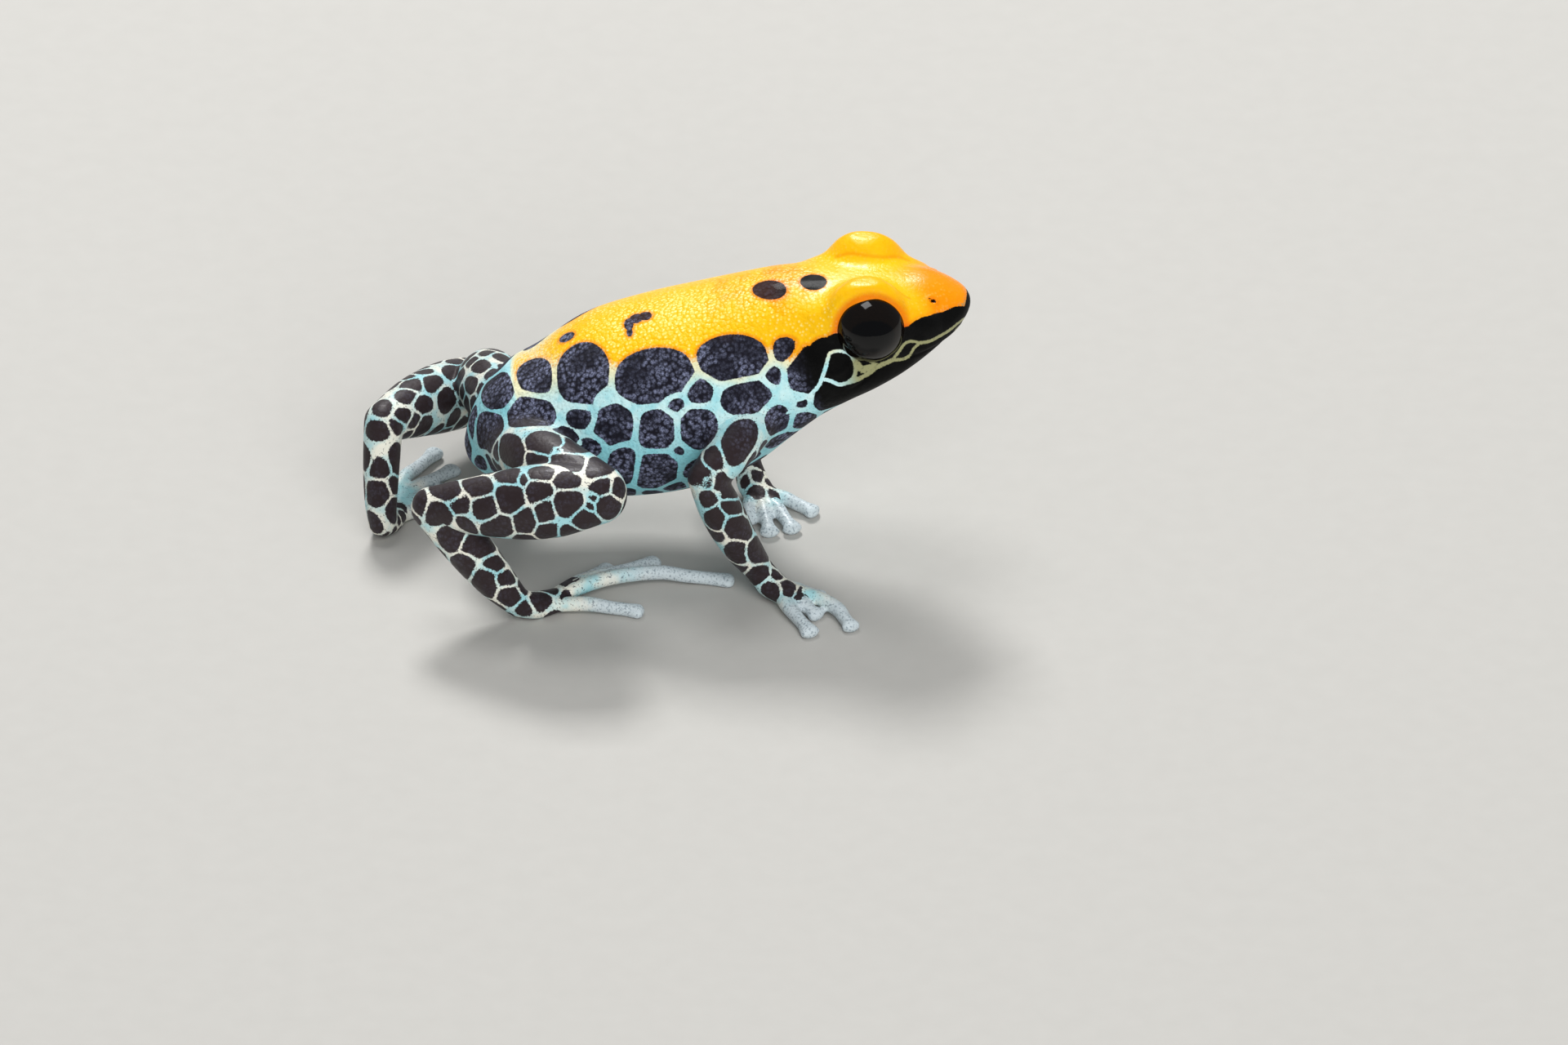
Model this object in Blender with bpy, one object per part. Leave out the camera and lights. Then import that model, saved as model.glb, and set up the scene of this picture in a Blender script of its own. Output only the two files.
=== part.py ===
"""Red-backed poison frog, sitting on all fours with its head raised, life-size.

Metres, +Z up, +X towards the snout, +Y the animal's left. The floor is Z = 0.
Sizes are written in millimetres and turned into metres where a mesh is made.
"""

import math
from collections import namedtuple

import bmesh
import bpy
import numpy as np
from mathutils import Matrix, Vector

MM = 0.001
LENGTH = 17.05  # snout to vent
PITCH = math.radians(19.2)  # the back's slope, head up
VENT = Vector((-6.39, 0.0, 3.11))
GAP = 0.3  # between neighbouring parts
NECK = 11.6  # along the body, where head and torso part
RIGHT, LEFT = -1, 1

# Sections of trunk and head, square to the body's axis. Middle is the height of the
# widest line over the axis, crown and keel are the reach over and under that line, pinch
# is how much the crown narrows, and box is the section's squareness.
Section = namedtuple("Section", "along middle crown keel side pinch box")
SECTIONS = (
    Section(0.00, 0.10, 0.35, 0.30, 0.40, 0.00, 2.0),
    Section(0.35, 0.10, 0.95, 0.80, 1.00, 0.00, 2.0),
    Section(1.00, 0.10, 1.75, 1.32, 1.78, 0.00, 2.0),
    Section(2.00, 0.10, 2.36, 1.78, 2.38, 0.00, 2.1),
    Section(3.30, 0.10, 2.82, 2.26, 2.76, 0.02, 2.1),
    Section(5.00, 0.10, 3.38, 2.85, 3.08, 0.04, 2.1),
    Section(7.00, 0.05, 3.52, 3.08, 3.25, 0.05, 2.1),
    Section(9.00, 0.05, 3.36, 2.80, 3.15, 0.06, 2.2),
    Section(10.5, 0.00, 3.18, 2.10, 2.82, 0.08, 2.3),
    Section(11.6, -0.05, 3.02, 1.58, 2.62, 0.10, 2.4),
    Section(12.6, -0.10, 2.80, 1.20, 2.60, 0.14, 2.5),
    Section(13.6, -0.08, 2.50, 0.98, 2.58, 0.20, 2.6),
    Section(14.6, -0.02, 2.12, 0.82, 2.34, 0.26, 2.7),
    Section(15.5, 0.06, 1.70, 0.68, 1.94, 0.30, 2.7),
    Section(16.2, 0.12, 1.32, 0.54, 1.48, 0.30, 2.6),
    Section(16.75, 0.16, 0.92, 0.42, 1.02, 0.20, 2.4),
    Section(17.05, 0.20, 0.46, 0.26, 0.55, 0.00, 2.0),
)
TRUNK_SIDES = 28
TRUNK_STEP = 0.62  # between rings of the trunk
HEAD_STEP = 0.34  # between rings of the head

EYE_RADIUS = 1.15
EYE_CENTRE = (6.52, 1.70, 8.91)
EYE_GAP = 0.17
LID_CENTRE = (6.40, 1.62, 8.98)
LID_REACH = (1.50, 1.14, 1.46)
BROW_CENTRE = (6.35, 1.27, 8.60)
BROW_REACH = (2.30, 1.00, 1.20)
MOUTH_START, MOUTH_END = 12.7, 16.8  # along the body
MOUTH_CORNER, MOUTH_ARCH = -0.32, 0.34  # height of its corner and tip, and the rise between
MOUTH_RADIUS = 0.11
LIP_RADIUS = 0.17
LIP_RISE = 0.24  # of the upper lip over the mouth's line
LIP_SUNK = 0.10
NOSTRIL = (16.15, 1.08)  # along and up
NOSTRIL_RADIUS = 0.12

# Limbs as stations X, Y, Z, half width and half height
UPPER_ARM = {
    RIGHT: ((2.85, -1.9, 6.0, 1.0, 1.0), (2.2, -3.3, 5.5, 0.8, 0.8), (1.3, -4.35, 4.85, 0.62, 0.62)),
    LEFT: ((2.85, 1.9, 6.0, 1.0, 1.0), (2.1, 3.5, 5.2, 0.8, 0.8), (1.3, 4.4, 4.1, 0.62, 0.62)),
}
FOREARM = {
    RIGHT: (
        (1.3, -4.35, 4.85, 0.58, 0.58),
        (1.75, -4.2, 3.6, 0.68, 0.68),
        (2.35, -3.85, 2.1, 0.62, 0.62),
        (2.95, -3.55, 0.95, 0.46, 0.46),
    ),
    LEFT: (
        (1.3, 4.4, 4.1, 0.58, 0.58),
        (1.6, 4.0, 3.1, 0.68, 0.68),
        (2.2, 3.3, 1.9, 0.6, 0.6),
        (2.6, 2.7, 0.95, 0.46, 0.46),
    ),
}
PALM = {
    RIGHT: ((2.95, -3.55, 0.95, 0.46, 0.46), (3.35, -3.75, 0.5, 0.55, 0.42), (3.9, -4.15, 0.32, 0.5, 0.34)),
    LEFT: ((2.6, 2.7, 0.95, 0.46, 0.46), (2.8, 2.25, 0.5, 0.55, 0.42), (3.15, 1.65, 0.32, 0.5, 0.34)),
}
# Fingers as the points they pass through, root to tip
FINGERS = {
    RIGHT: (
        ((3.6, -3.8, 0.34), (3.85, -4.7, 0.3), (4.6, -6.15, 0.17)),
        ((3.6, -3.9, 0.32), (4.2, -4.5, 0.32), (4.8, -5.1, 0.17)),
        ((3.5, -3.7, 0.34), (4.9, -4.42, 0.34), (5.5, -4.95, 0.28), (5.91, -5.8, 0.17)),
        ((3.4, -3.6, 0.32), (4.1, -3.75, 0.3), (4.95, -4.05, 0.17)),
    ),
    LEFT: (
        ((2.9, 2.1, 0.34), (3.75, 1.75, 0.32), (4.7, 1.15, 0.17)),
        ((2.9, 2.1, 0.34), (3.5, 1.2, 0.34), (4.05, 0.1, 0.17)),
        ((2.9, 2.1, 0.34), (3.1, 1.1, 0.32), (3.3, -0.1, 0.17)),
        ((2.8, 2.2, 0.32), (2.65, 1.3, 0.3), (2.6, 0.6, 0.17)),
    ),
}
THIGH = {
    RIGHT: (
        (-4.9, -0.9, 4.2, 1.1, 1.15),
        (-3.85, -3.4, 4.75, 1.12, 1.2),
        (-2.15, -5.4, 4.92, 0.94, 1.0),
    ),
    LEFT: ((-5.1, 0.9, 4.1, 1.0, 1.05), (-5.75, 3.6, 3.5, 1.1, 1.15), (-5.7, 6.0, 2.0, 0.88, 0.94)),
}
SHANK = {
    RIGHT: (
        (-2.15, -5.4, 4.92, 0.94, 1.0),
        (-3.7, -5.4, 4.66, 1.13, 1.24),
        (-5.4, -5.05, 4.28, 1.0, 1.09),
        (-7.5, -4.5, 3.85, 0.64, 0.68),
    ),
    LEFT: (
        (-5.7, 6.0, 2.0, 0.88, 0.94),
        (-6.95, 4.7, 2.45, 1.1, 1.18),
        (-8.1, 3.0, 3.05, 0.97, 1.04),
        (-9.15, 1.2, 3.55, 0.64, 0.68),
    ),
}
TARSUS = {
    RIGHT: (
        (-7.5, -4.5, 3.85, 0.64, 0.68),
        (-6.45, -4.75, 2.65, 0.72, 0.77),
        (-5.52, -5.0, 1.5, 0.64, 0.66),
        (-4.75, -5.1, 0.62, 0.46, 0.46),
    ),
    LEFT: (
        (-9.15, 1.2, 3.55, 0.64, 0.68),
        (-9.22, 0.6, 2.35, 0.6, 0.63),
        (-9.24, 0.05, 1.35, 0.54, 0.57),
        (-9.2, -0.25, 0.62, 0.46, 0.46),
    ),
}
SOLE = {
    RIGHT: ((-4.75, -5.1, 0.62, 0.46, 0.46), (-4.2, -4.85, 0.38, 0.52, 0.42), (-3.6, -4.5, 0.32, 0.5, 0.34)),
    LEFT: ((-9.2, -0.25, 0.62, 0.46, 0.46), (-9.05, 0.25, 0.38, 0.52, 0.42), (-8.85, 0.9, 0.32, 0.5, 0.34)),
}
TOES = {
    RIGHT: (
        ((-4.1, -4.8, 0.3), (-3.75, -4.3, 0.3), (-3.35, -3.8, 0.17)),
        ((-4.0, -4.7, 0.32), (-3.0, -3.6, 0.36), (-1.9, -2.35, 0.17)),
        ((-4.0, -4.7, 0.34), (-2.4, -3.35, 0.42), (-0.4, -1.95, 0.17)),
        ((-4.0, -4.7, 0.36), (-2.1, -3.55, 0.5), (-0.4, -2.95, 0.42), (2.0, -3.05, 0.17)),
        ((-4.0, -4.8, 0.34), (-2.6, -4.75, 0.36), (-0.9, -4.9, 0.17)),
    ),
    LEFT: (
        ((-8.95, 0.5, 0.3), (-8.4, 0.85, 0.3), (-7.9, 1.3, 0.17)),
        ((-9.0, 0.5, 0.32), (-8.1, 1.6, 0.34), (-7.15, 2.5, 0.17)),
        ((-9.0, 0.5, 0.34), (-8.2, 2.2, 0.38), (-7.0, 3.7, 0.17)),
        ((-9.0, 0.5, 0.34), (-8.6, 2.7, 0.4), (-7.6, 4.75, 0.17)),
        ((-9.0, 0.5, 0.32), (-9.25, 2.0, 0.34), (-9.1, 3.5, 0.17)),
    ),
}
DIGIT_WIDTH, DIGIT_HEIGHT = 0.26, 0.25  # halves, along a finger or toe
DISC_WIDTH, DISC_HEIGHT = 0.36, 0.22  # halves, of the pad at its tip
LIMB_SIDES, DIGIT_SIDES = 12, 8

SIDE_NAMES = {RIGHT: "right", LEFT: "left"}

# Colour, roughness of each kind of skin
ORANGE = ((0.87, 0.25, 0.01), 0.35)
NETTED = ((0.02, 0.02, 0.03), 0.35)
PALE = ((0.42, 0.55, 0.58), 0.4)
EYE_BLACK = ((0.004, 0.004, 0.005), 0.05)


def body_point(along, side, up):
    """A place in millimetres, from its distance along the body's axis and over it."""
    forward = Vector((math.cos(PITCH), 0, math.sin(PITCH)))
    over = Vector((-math.sin(PITCH), 0, math.cos(PITCH)))
    return VENT + forward * along + over * up + Vector((0, side, 0))


def spline(rows, count):
    """Rows of numbers drawn along a smooth curve through the given rows."""
    rows = np.array(rows, float)
    rows = np.vstack([2 * rows[0] - rows[1], rows, 2 * rows[-1] - rows[-2]])
    out = []
    for at in np.linspace(0, len(rows) - 3, count):
        k = min(int(at), len(rows) - 4)
        t = at - k
        a, b, c, d = rows[k : k + 4]
        out.append(b + 0.5 * t * (c - a + t * (2 * a - 5 * b + 4 * c - d + t * (3 * (b - c) + d - a))))
    return out


def section_at(along):
    """The trunk's section at a distance along the axis."""
    table = np.array(SECTIONS)
    keys = table[:, 0]
    slopes = np.gradient(table, keys, axis=0)
    k = int(np.clip(np.searchsorted(keys, along) - 1, 0, len(keys) - 2))
    width = keys[k + 1] - keys[k]
    t = (along - keys[k]) / width
    start = (1 + 2 * t) * (1 - t) ** 2 * table[k] + t * (1 - t) ** 2 * width * slopes[k]
    end = t * t * (3 - 2 * t) * table[k + 1] + t * t * (t - 1) * width * slopes[k + 1]
    return Section(*(start + end))


def skin_point(along, up, side):
    """The skin's place in millimetres at a height over the axis, on one side."""
    s = section_at(along)
    above = up > s.middle
    reach = s.crown if above else s.keel
    share = min(abs(up - s.middle) / reach, 1.0)
    out = s.side * (1 - share**s.box) ** (1 / s.box)
    if above:
        out *= 1 - s.pinch * share
    return body_point(along, side * out, up)


def trunk_ring(along, grow):
    """The points of one section, moved out by grow."""
    s = section_at(along)
    points = []
    for k in range(TRUNK_SIDES):
        turn = 2 * math.pi * k / TRUNK_SIDES
        across, rise = math.cos(turn), math.sin(turn)
        power = 2 / s.box
        side = (s.side + grow) * math.copysign(abs(across) ** power, across)
        share = math.copysign(abs(rise) ** power, rise)
        if rise > 0:
            side *= 1 - s.pinch * share
        reach = (s.crown if rise > 0 else s.keel) + grow
        points.append(body_point(along, side, s.middle + reach * share))
    return points


def mesh_object(name, bm):
    """An object from bm, whose faces are turned outwards and whose sizes go to metres."""
    bmesh.ops.recalc_face_normals(bm, faces=bm.faces)
    bmesh.ops.scale(bm, vec=(MM, MM, MM), verts=bm.verts)
    mesh = bpy.data.meshes.new(name)
    bm.to_mesh(mesh)
    bm.free()
    obj = bpy.data.objects.new(name, mesh)
    bpy.context.scene.collection.objects.link(obj)
    return obj


def loft(name, rings):
    """A closed solid through rings of points, with a flat face at each end."""
    bm = bmesh.new()
    rows = [[bm.verts.new(p) for p in ring] for ring in rings]
    sides = len(rows[0])
    for low, high in zip(rows, rows[1:]):
        for k in range(sides):
            j = (k + 1) % sides
            bm.faces.new((low[k], low[j], high[j], high[k]))
    bm.faces.new(rows[0])
    bm.faces.new(rows[-1])
    return mesh_object(name, bm)


def trunk(name, start, end, step, grow=0.0):
    """The trunk's or the head's plain form between two places along the axis."""
    count = max(2, round((end - start) / step) + 1)
    return loft(name, [trunk_ring(a, grow) for a in np.linspace(start, end, count)])


def tube(name, stations, sides, per_span=3, cap_rings=3):
    """A round-ended limb through stations of X, Y, Z, half width and half height."""
    rows = spline(stations, per_span * (len(stations) - 1) + 1)
    centres = [Vector(r[:3]) for r in rows]
    halves = [r[3:] for r in rows]
    last = len(rows) - 1
    tangents = [(centres[min(k + 1, last)] - centres[max(k - 1, 0)]).normalized() for k in range(last + 1)]
    spans = [(centres[k], tangents[k], halves[k]) for k in range(last + 1)]
    for k in range(1, cap_rings + 1):
        turn = 0.5 * math.pi * k / (cap_rings + 0.4)
        shrink, reach = math.cos(turn), math.sin(turn)
        first_half, last_half = halves[0], halves[-1]
        spans.insert(0, (centres[0] - tangents[0] * reach * min(first_half), tangents[0], first_half * shrink))
        spans.append((centres[-1] + tangents[-1] * reach * min(last_half), tangents[-1], last_half * shrink))
    rings = []
    across = Vector((0, 0, 1)).cross(spans[0][1])
    across = across.normalized() if across.length > 0.2 else Vector((0, 1, 0))
    for centre, tangent, (width, height) in spans:
        across = (across - tangent * across.dot(tangent)).normalized()
        over = tangent.cross(across)
        turns = [2 * math.pi * (k + 0.5) / sides for k in range(sides)]
        rings.append(
            [centre + across * width * math.cos(t) + over * height * math.sin(t) for t in turns]
        )
    return loft(name, rings)


def ball(name, centre, reach, segments, rings):
    """An ellipsoid with its half sizes in reach."""
    bm = bmesh.new()
    bmesh.ops.create_uvsphere(bm, u_segments=segments, v_segments=rings, radius=1)
    bmesh.ops.scale(bm, vec=reach, verts=bm.verts)
    bmesh.ops.translate(bm, vec=centre, verts=bm.verts)
    return mesh_object(name, bm)


def digit(name, points):
    """A finger or toe, widened into a pad at its tip."""
    points = list(points)
    neck = Vector(points[-2]).lerp(Vector(points[-1]), 0.72)
    stations = [(*p, DIGIT_WIDTH, DIGIT_HEIGHT) for p in points[:-1]]
    stations.append((*neck, DIGIT_WIDTH, DIGIT_HEIGHT * 0.95))
    stations.append((*points[-1], DISC_WIDTH, DISC_HEIGHT))
    return tube(name, stations, DIGIT_SIDES, per_span=2, cap_rings=2)


def run_boolean(obj, operation, others):
    """Joins others to obj or cuts them from it, and removes them."""
    group = bpy.data.collections.new("cutters")
    bpy.context.scene.collection.children.link(group)
    for other in others:
        other.hide_render = True
        other.display_type = "WIRE"
        group.objects.link(other)
    modifier = obj.modifiers.new("join", "BOOLEAN")
    modifier.operation = operation
    modifier.operand_type = "COLLECTION"
    modifier.collection = group
    modifier.solver = "EXACT"
    graph = bpy.context.evaluated_depsgraph_get()
    mesh = bpy.data.meshes.new_from_object(obj.evaluated_get(graph))
    obj.modifiers.clear()
    old = obj.data
    obj.data = mesh
    bpy.data.meshes.remove(old)
    for other in others:
        bpy.data.objects.remove(other)
    bpy.data.collections.remove(group)
    keep_largest(obj)


def keep_largest(obj):
    """Leaves only the largest closed surface of obj, with its close points merged."""
    bm = bmesh.new()
    bm.from_mesh(obj.data)
    bmesh.ops.remove_doubles(bm, verts=bm.verts, dist=0.004 * MM)
    bmesh.ops.dissolve_degenerate(bm, dist=0.004 * MM, edges=bm.edges)
    left = set(bm.verts)
    shells = []
    while left:
        shell, queue = set(), [left.pop()]
        while queue:
            vert = queue.pop()
            shell.add(vert)
            near = {e.other_vert(vert) for e in vert.link_edges} & left
            left -= near
            queue.extend(near)
        shells.append(shell)
    largest = max(shells, key=len)
    bmesh.ops.delete(bm, geom=[v for v in bm.verts if v not in largest], context="VERTS")
    bm.to_mesh(obj.data)
    bm.free()


def slice_off(obj, point, normal):
    """Cuts away what lies past a plane, on the side that normal points to, and caps it."""
    bm = bmesh.new()
    bm.from_mesh(obj.data)
    geom = bm.verts[:] + bm.edges[:] + bm.faces[:]
    bmesh.ops.bisect_plane(
        bm, geom=geom, plane_co=Vector(point) * MM, plane_no=normal, clear_outer=True, dist=0.00001 * MM
    )
    edges = [e for e in bm.edges if e.is_boundary]
    bmesh.ops.holes_fill(bm, edges=edges, sides=0)
    bmesh.ops.recalc_face_normals(bm, faces=bm.faces)
    bm.to_mesh(obj.data)
    bm.free()
    keep_largest(obj)


def part_at_joint(first, second, before, joint, after):
    """Parts two limb pieces by the plane halfway between them, with the gap shared."""
    joint = Vector(joint[:3])
    towards_first = (Vector(before[:3]) - joint).normalized()
    towards_second = (Vector(after[:3]) - joint).normalized()
    normal = (towards_second - towards_first).normalized()
    slice_off(first, joint - normal * GAP / 2, normal)
    slice_off(second, joint + normal * GAP / 2, -normal)


def stand_flat(obj):
    """Cuts obj level with the floor, so that it stands on small flats."""
    slice_off(obj, (0, 0, 0), (0, 0, -1))
    for vert in obj.data.vertices:
        if abs(vert.co.z) < 0.006 * MM:
            vert.co.z = 0.0


def clear_of_trunk(obj):
    """Cuts obj back from the trunk by the gap."""
    run_boolean(obj, "DIFFERENCE", [trunk("trunk_clearance", 0.0, LENGTH, TRUNK_STEP, GAP)])


def mouth_line(name, rise, sunk, radius):
    """A thin tube round the snout, from the right corner of the mouth to the left one."""
    points = []
    for along in np.linspace(MOUTH_START, MOUTH_END, 11):
        ease = (along - MOUTH_START) / (MOUTH_END - MOUTH_START)
        up = MOUTH_CORNER + MOUTH_ARCH * math.sin(math.pi * min(ease * 1.15, 1.0)) ** 1.5 + rise
        point = skin_point(along, up, RIGHT)
        point.y += sunk
        points.append(point)
    left = [Vector((p.x, -p.y, p.z)) for p in reversed(points)]
    tip = body_point(LENGTH - sunk, 0, MOUTH_CORNER + rise)
    stations = [(*p, radius, radius) for p in [*points, tip, *left]]
    return tube(name, stations, DIGIT_SIDES, per_span=1, cap_rings=2)


def mirrored(centre, side):
    """A place given for the left side, on the side asked for."""
    return (centre[0], side * centre[1], centre[2])


def make_head():
    """The head, with lids over the eyes, lips, mouth and nostrils."""
    head = trunk("head", NECK + GAP / 2, LENGTH, HEAD_STEP)
    lids = [ball("lid", mirrored(LID_CENTRE, s), LID_REACH, 20, 14) for s in (RIGHT, LEFT)]
    brows = [ball("brow", mirrored(BROW_CENTRE, s), BROW_REACH, 20, 14) for s in (RIGHT, LEFT)]
    lip = mouth_line("lip", LIP_RISE, LIP_SUNK, LIP_RADIUS)
    run_boolean(head, "UNION", [*brows, *lids, lip])
    socket = EYE_RADIUS + EYE_GAP
    cutters = [ball("socket", mirrored(EYE_CENTRE, s), (socket,) * 3, 20, 14) for s in (RIGHT, LEFT)]
    for side in (RIGHT, LEFT):
        place = skin_point(*NOSTRIL, side)
        cutters.append(ball("nostril", place, (NOSTRIL_RADIUS,) * 3, 8, 6))
    cutters.append(mouth_line("mouth", 0.0, 0.0, MOUTH_RADIUS))
    run_boolean(head, "DIFFERENCE", cutters)
    return head


def make_arm(side):
    """Upper arm, forearm and hand of one side."""
    name = SIDE_NAMES[side]
    upper = tube(f"upper_arm_{name}", UPPER_ARM[side], LIMB_SIDES)
    fore = tube(f"forearm_{name}", FOREARM[side], LIMB_SIDES)
    hand = tube(f"hand_{name}", PALM[side], LIMB_SIDES)
    run_boolean(hand, "UNION", [digit("finger", f) for f in FINGERS[side]])
    part_at_joint(upper, fore, UPPER_ARM[side][0], FOREARM[side][0], FOREARM[side][1])
    part_at_joint(fore, hand, FOREARM[side][-2], PALM[side][0], PALM[side][-1])
    stand_flat(hand)
    clear_of_trunk(upper)
    return upper, fore, hand


def make_leg(side):
    """Thigh, shank, tarsus and foot of one side."""
    name = SIDE_NAMES[side]
    thigh = tube(f"thigh_{name}", THIGH[side], LIMB_SIDES)
    shank = tube(f"shank_{name}", SHANK[side], LIMB_SIDES)
    tarsus = tube(f"tarsus_{name}", TARSUS[side], LIMB_SIDES)
    foot = tube(f"foot_{name}", SOLE[side], LIMB_SIDES)
    run_boolean(foot, "UNION", [digit("toe", t) for t in TOES[side]])
    part_at_joint(thigh, shank, THIGH[side][0], SHANK[side][0], SHANK[side][-1])
    part_at_joint(shank, tarsus, SHANK[side][-2], TARSUS[side][0], TARSUS[side][-1])
    part_at_joint(tarsus, foot, TARSUS[side][-2], SOLE[side][0], SOLE[side][-1])
    stand_flat(foot)
    clear_of_trunk(thigh)
    return thigh, shank, tarsus, foot


def skin(name, look):
    """A plain material of one colour and roughness."""
    (red, green, blue), roughness = look
    material = bpy.data.materials.new(name)
    material.use_nodes = True
    shader = material.node_tree.nodes["Principled BSDF"]
    shader.inputs["Base Color"].default_value = (red, green, blue, 1)
    shader.inputs["Roughness"].default_value = roughness
    shader.inputs["Metallic"].default_value = 0.0
    return material


def finish(obj, origin, look, group, frame):
    """Gives obj its origin, material and smooth shading, in the frog's collection."""
    origin = Vector(origin[:3]) * MM
    obj.data.transform(Matrix.Translation(-origin))
    obj.location = origin
    obj.parent = frame
    obj.data.materials.clear()
    obj.data.materials.append(skin(obj.name, look))
    obj.data.shade_smooth()
    obj.data.set_sharp_from_angle(angle=math.radians(40))
    bpy.context.scene.collection.objects.unlink(obj)
    group.objects.link(obj)


def stand_on_origin(objects, frame):
    """Moves the frame so that the origin lies under the middle of the whole frog."""
    corners = [o.location + v.co for o in objects for v in o.data.vertices]
    low = [min(c[k] for c in corners) for k in range(3)]
    high = [max(c[k] for c in corners) for k in range(3)]
    frame.location = (-(low[0] + high[0]) / 2, -(low[1] + high[1]) / 2, -low[2])


def main():
    for obj in list(bpy.data.objects):
        bpy.data.objects.remove(obj)
    group = bpy.data.collections.new("poison_frog")
    bpy.context.scene.collection.children.link(group)
    frame = bpy.data.objects.new("frog_frame", None)
    group.objects.link(frame)

    made = [
        (make_head(), body_point(NECK, 0, 0), ORANGE),
        (trunk("torso", 0.0, NECK - GAP / 2, TRUNK_STEP), VENT, ORANGE),
    ]
    for side in (RIGHT, LEFT):
        centre = mirrored(EYE_CENTRE, side)
        eye = ball(f"eye_{SIDE_NAMES[side]}", centre, (EYE_RADIUS,) * 3, 20, 14)
        made.append((eye, centre, EYE_BLACK))
        upper, fore, hand = make_arm(side)
        made.append((upper, UPPER_ARM[side][0], NETTED))
        made.append((fore, FOREARM[side][0], NETTED))
        made.append((hand, PALM[side][0], PALE))
        thigh, shank, tarsus, foot = make_leg(side)
        made.append((thigh, THIGH[side][0], NETTED))
        made.append((shank, SHANK[side][0], NETTED))
        made.append((tarsus, TARSUS[side][0], NETTED))
        made.append((foot, SOLE[side][0], PALE))
    for obj, origin, look in made:
        finish(obj, origin, look, group, frame)
    stand_on_origin([obj for obj, _, _ in made], frame)


main()
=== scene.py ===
"""Red-backed poison frog: one moist, granular skin over its solids, and two wet eyes.

The skin is modelled in millimetres, in the pose's own place, and then moved onto the
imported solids. Its markings are drawn from spots named by their pixels in the photograph,
which is 1920 x 1280, and are finished on the hidden side in the same manner.
"""

import logging
import math
from dataclasses import astuple, dataclass, field
from enum import Enum
from typing import Iterable, Sequence

import bpy
import numpy as np
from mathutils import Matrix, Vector
from mathutils.bvhtree import BVHTree

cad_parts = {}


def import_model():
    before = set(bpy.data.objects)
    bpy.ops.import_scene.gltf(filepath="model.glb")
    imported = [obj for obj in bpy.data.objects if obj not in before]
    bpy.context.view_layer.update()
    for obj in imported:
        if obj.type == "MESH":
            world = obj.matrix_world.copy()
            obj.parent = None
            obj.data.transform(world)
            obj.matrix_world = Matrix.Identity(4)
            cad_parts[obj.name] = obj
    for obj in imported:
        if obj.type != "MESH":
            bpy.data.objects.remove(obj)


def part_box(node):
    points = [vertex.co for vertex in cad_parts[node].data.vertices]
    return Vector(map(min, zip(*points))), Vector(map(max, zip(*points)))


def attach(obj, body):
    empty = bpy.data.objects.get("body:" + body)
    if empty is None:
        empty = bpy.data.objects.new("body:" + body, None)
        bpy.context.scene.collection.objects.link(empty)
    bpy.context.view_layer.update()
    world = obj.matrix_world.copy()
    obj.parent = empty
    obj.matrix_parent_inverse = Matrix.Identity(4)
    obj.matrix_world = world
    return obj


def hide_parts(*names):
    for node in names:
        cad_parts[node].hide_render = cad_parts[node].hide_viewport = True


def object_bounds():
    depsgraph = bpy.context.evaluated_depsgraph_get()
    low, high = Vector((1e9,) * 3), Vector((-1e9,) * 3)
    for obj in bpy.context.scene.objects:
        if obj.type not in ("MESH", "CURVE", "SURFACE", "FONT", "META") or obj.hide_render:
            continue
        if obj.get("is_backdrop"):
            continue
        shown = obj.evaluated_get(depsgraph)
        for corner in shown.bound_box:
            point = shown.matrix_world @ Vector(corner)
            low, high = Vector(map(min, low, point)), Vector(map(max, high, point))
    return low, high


MM = 0.001
LOG = logging.getLogger("poison_frog")
# Stands for far off, where no mark, limb or line is near, in millimetres
FAR = 9.0


class Side(Enum):
    """The frog's two sides, as the sign of Y."""

    RIGHT = -1
    LEFT = 1

    @property
    def word(self) -> str:
        """The side's name in the nodes' names."""
        return self.name.lower()


class Region(Enum):
    """Which piece of the body a place on the skin belongs to."""

    TRUNK = 0
    ARM = 1
    LEG = 2
    PAW = 3
    DIGIT = 4


def linear(colour: str) -> tuple[float, float, float, float]:
    """Turns an sRGB hex colour to linear light.

    Args:
        colour: Six hex digits after a hash sign.

    Returns:
        Red, green, blue and an alpha of 1.
    """
    parts = [int(colour[k : k + 2], 16) / 255 for k in (1, 3, 5)]
    bent = [p / 12.92 if p <= 0.04045 else ((p + 0.055) / 1.055) ** 2.4 for p in parts]
    return (*bent, 1.0)


def smooth_step(low: float, high: float, value: np.ndarray) -> np.ndarray:
    """Rises smoothly from 0 to 1 while value goes from low to high.

    Args:
        low: Where the rise starts.
        high: Where it ends.
        value: The numbers to look at.

    Returns:
        Numbers from 0 to 1.
    """
    t = np.clip((value - low) / (high - low), 0.0, 1.0)
    return t * t * (3 - 2 * t)


def spline(rows: Sequence[Sequence[float]], count: int) -> np.ndarray:
    """Draws rows of numbers along a smooth curve through the given rows.

    Args:
        rows: The rows that the curve passes through.
        count: How many rows to draw.

    Returns:
        One drawn row a line.
    """
    keys = np.array(rows, float)
    keys = np.vstack([2 * keys[0] - keys[1], keys, 2 * keys[-1] - keys[-2]])
    drawn = []
    for at in np.linspace(0, len(keys) - 3, count):
        k = min(int(at), len(keys) - 4)
        t = at - k
        a, b, c, d = keys[k : k + 4]
        bend = 2 * a - 5 * b + 4 * c - d + t * (3 * (b - c) + d - a)
        drawn.append(b + 0.5 * t * (c - a + t * bend))
    return np.array(drawn)


def unit(rows: np.ndarray) -> np.ndarray:
    """Each row scaled to a length of 1."""
    return rows / np.maximum(np.linalg.norm(rows, axis=-1, keepdims=True), 1e-12)


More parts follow.
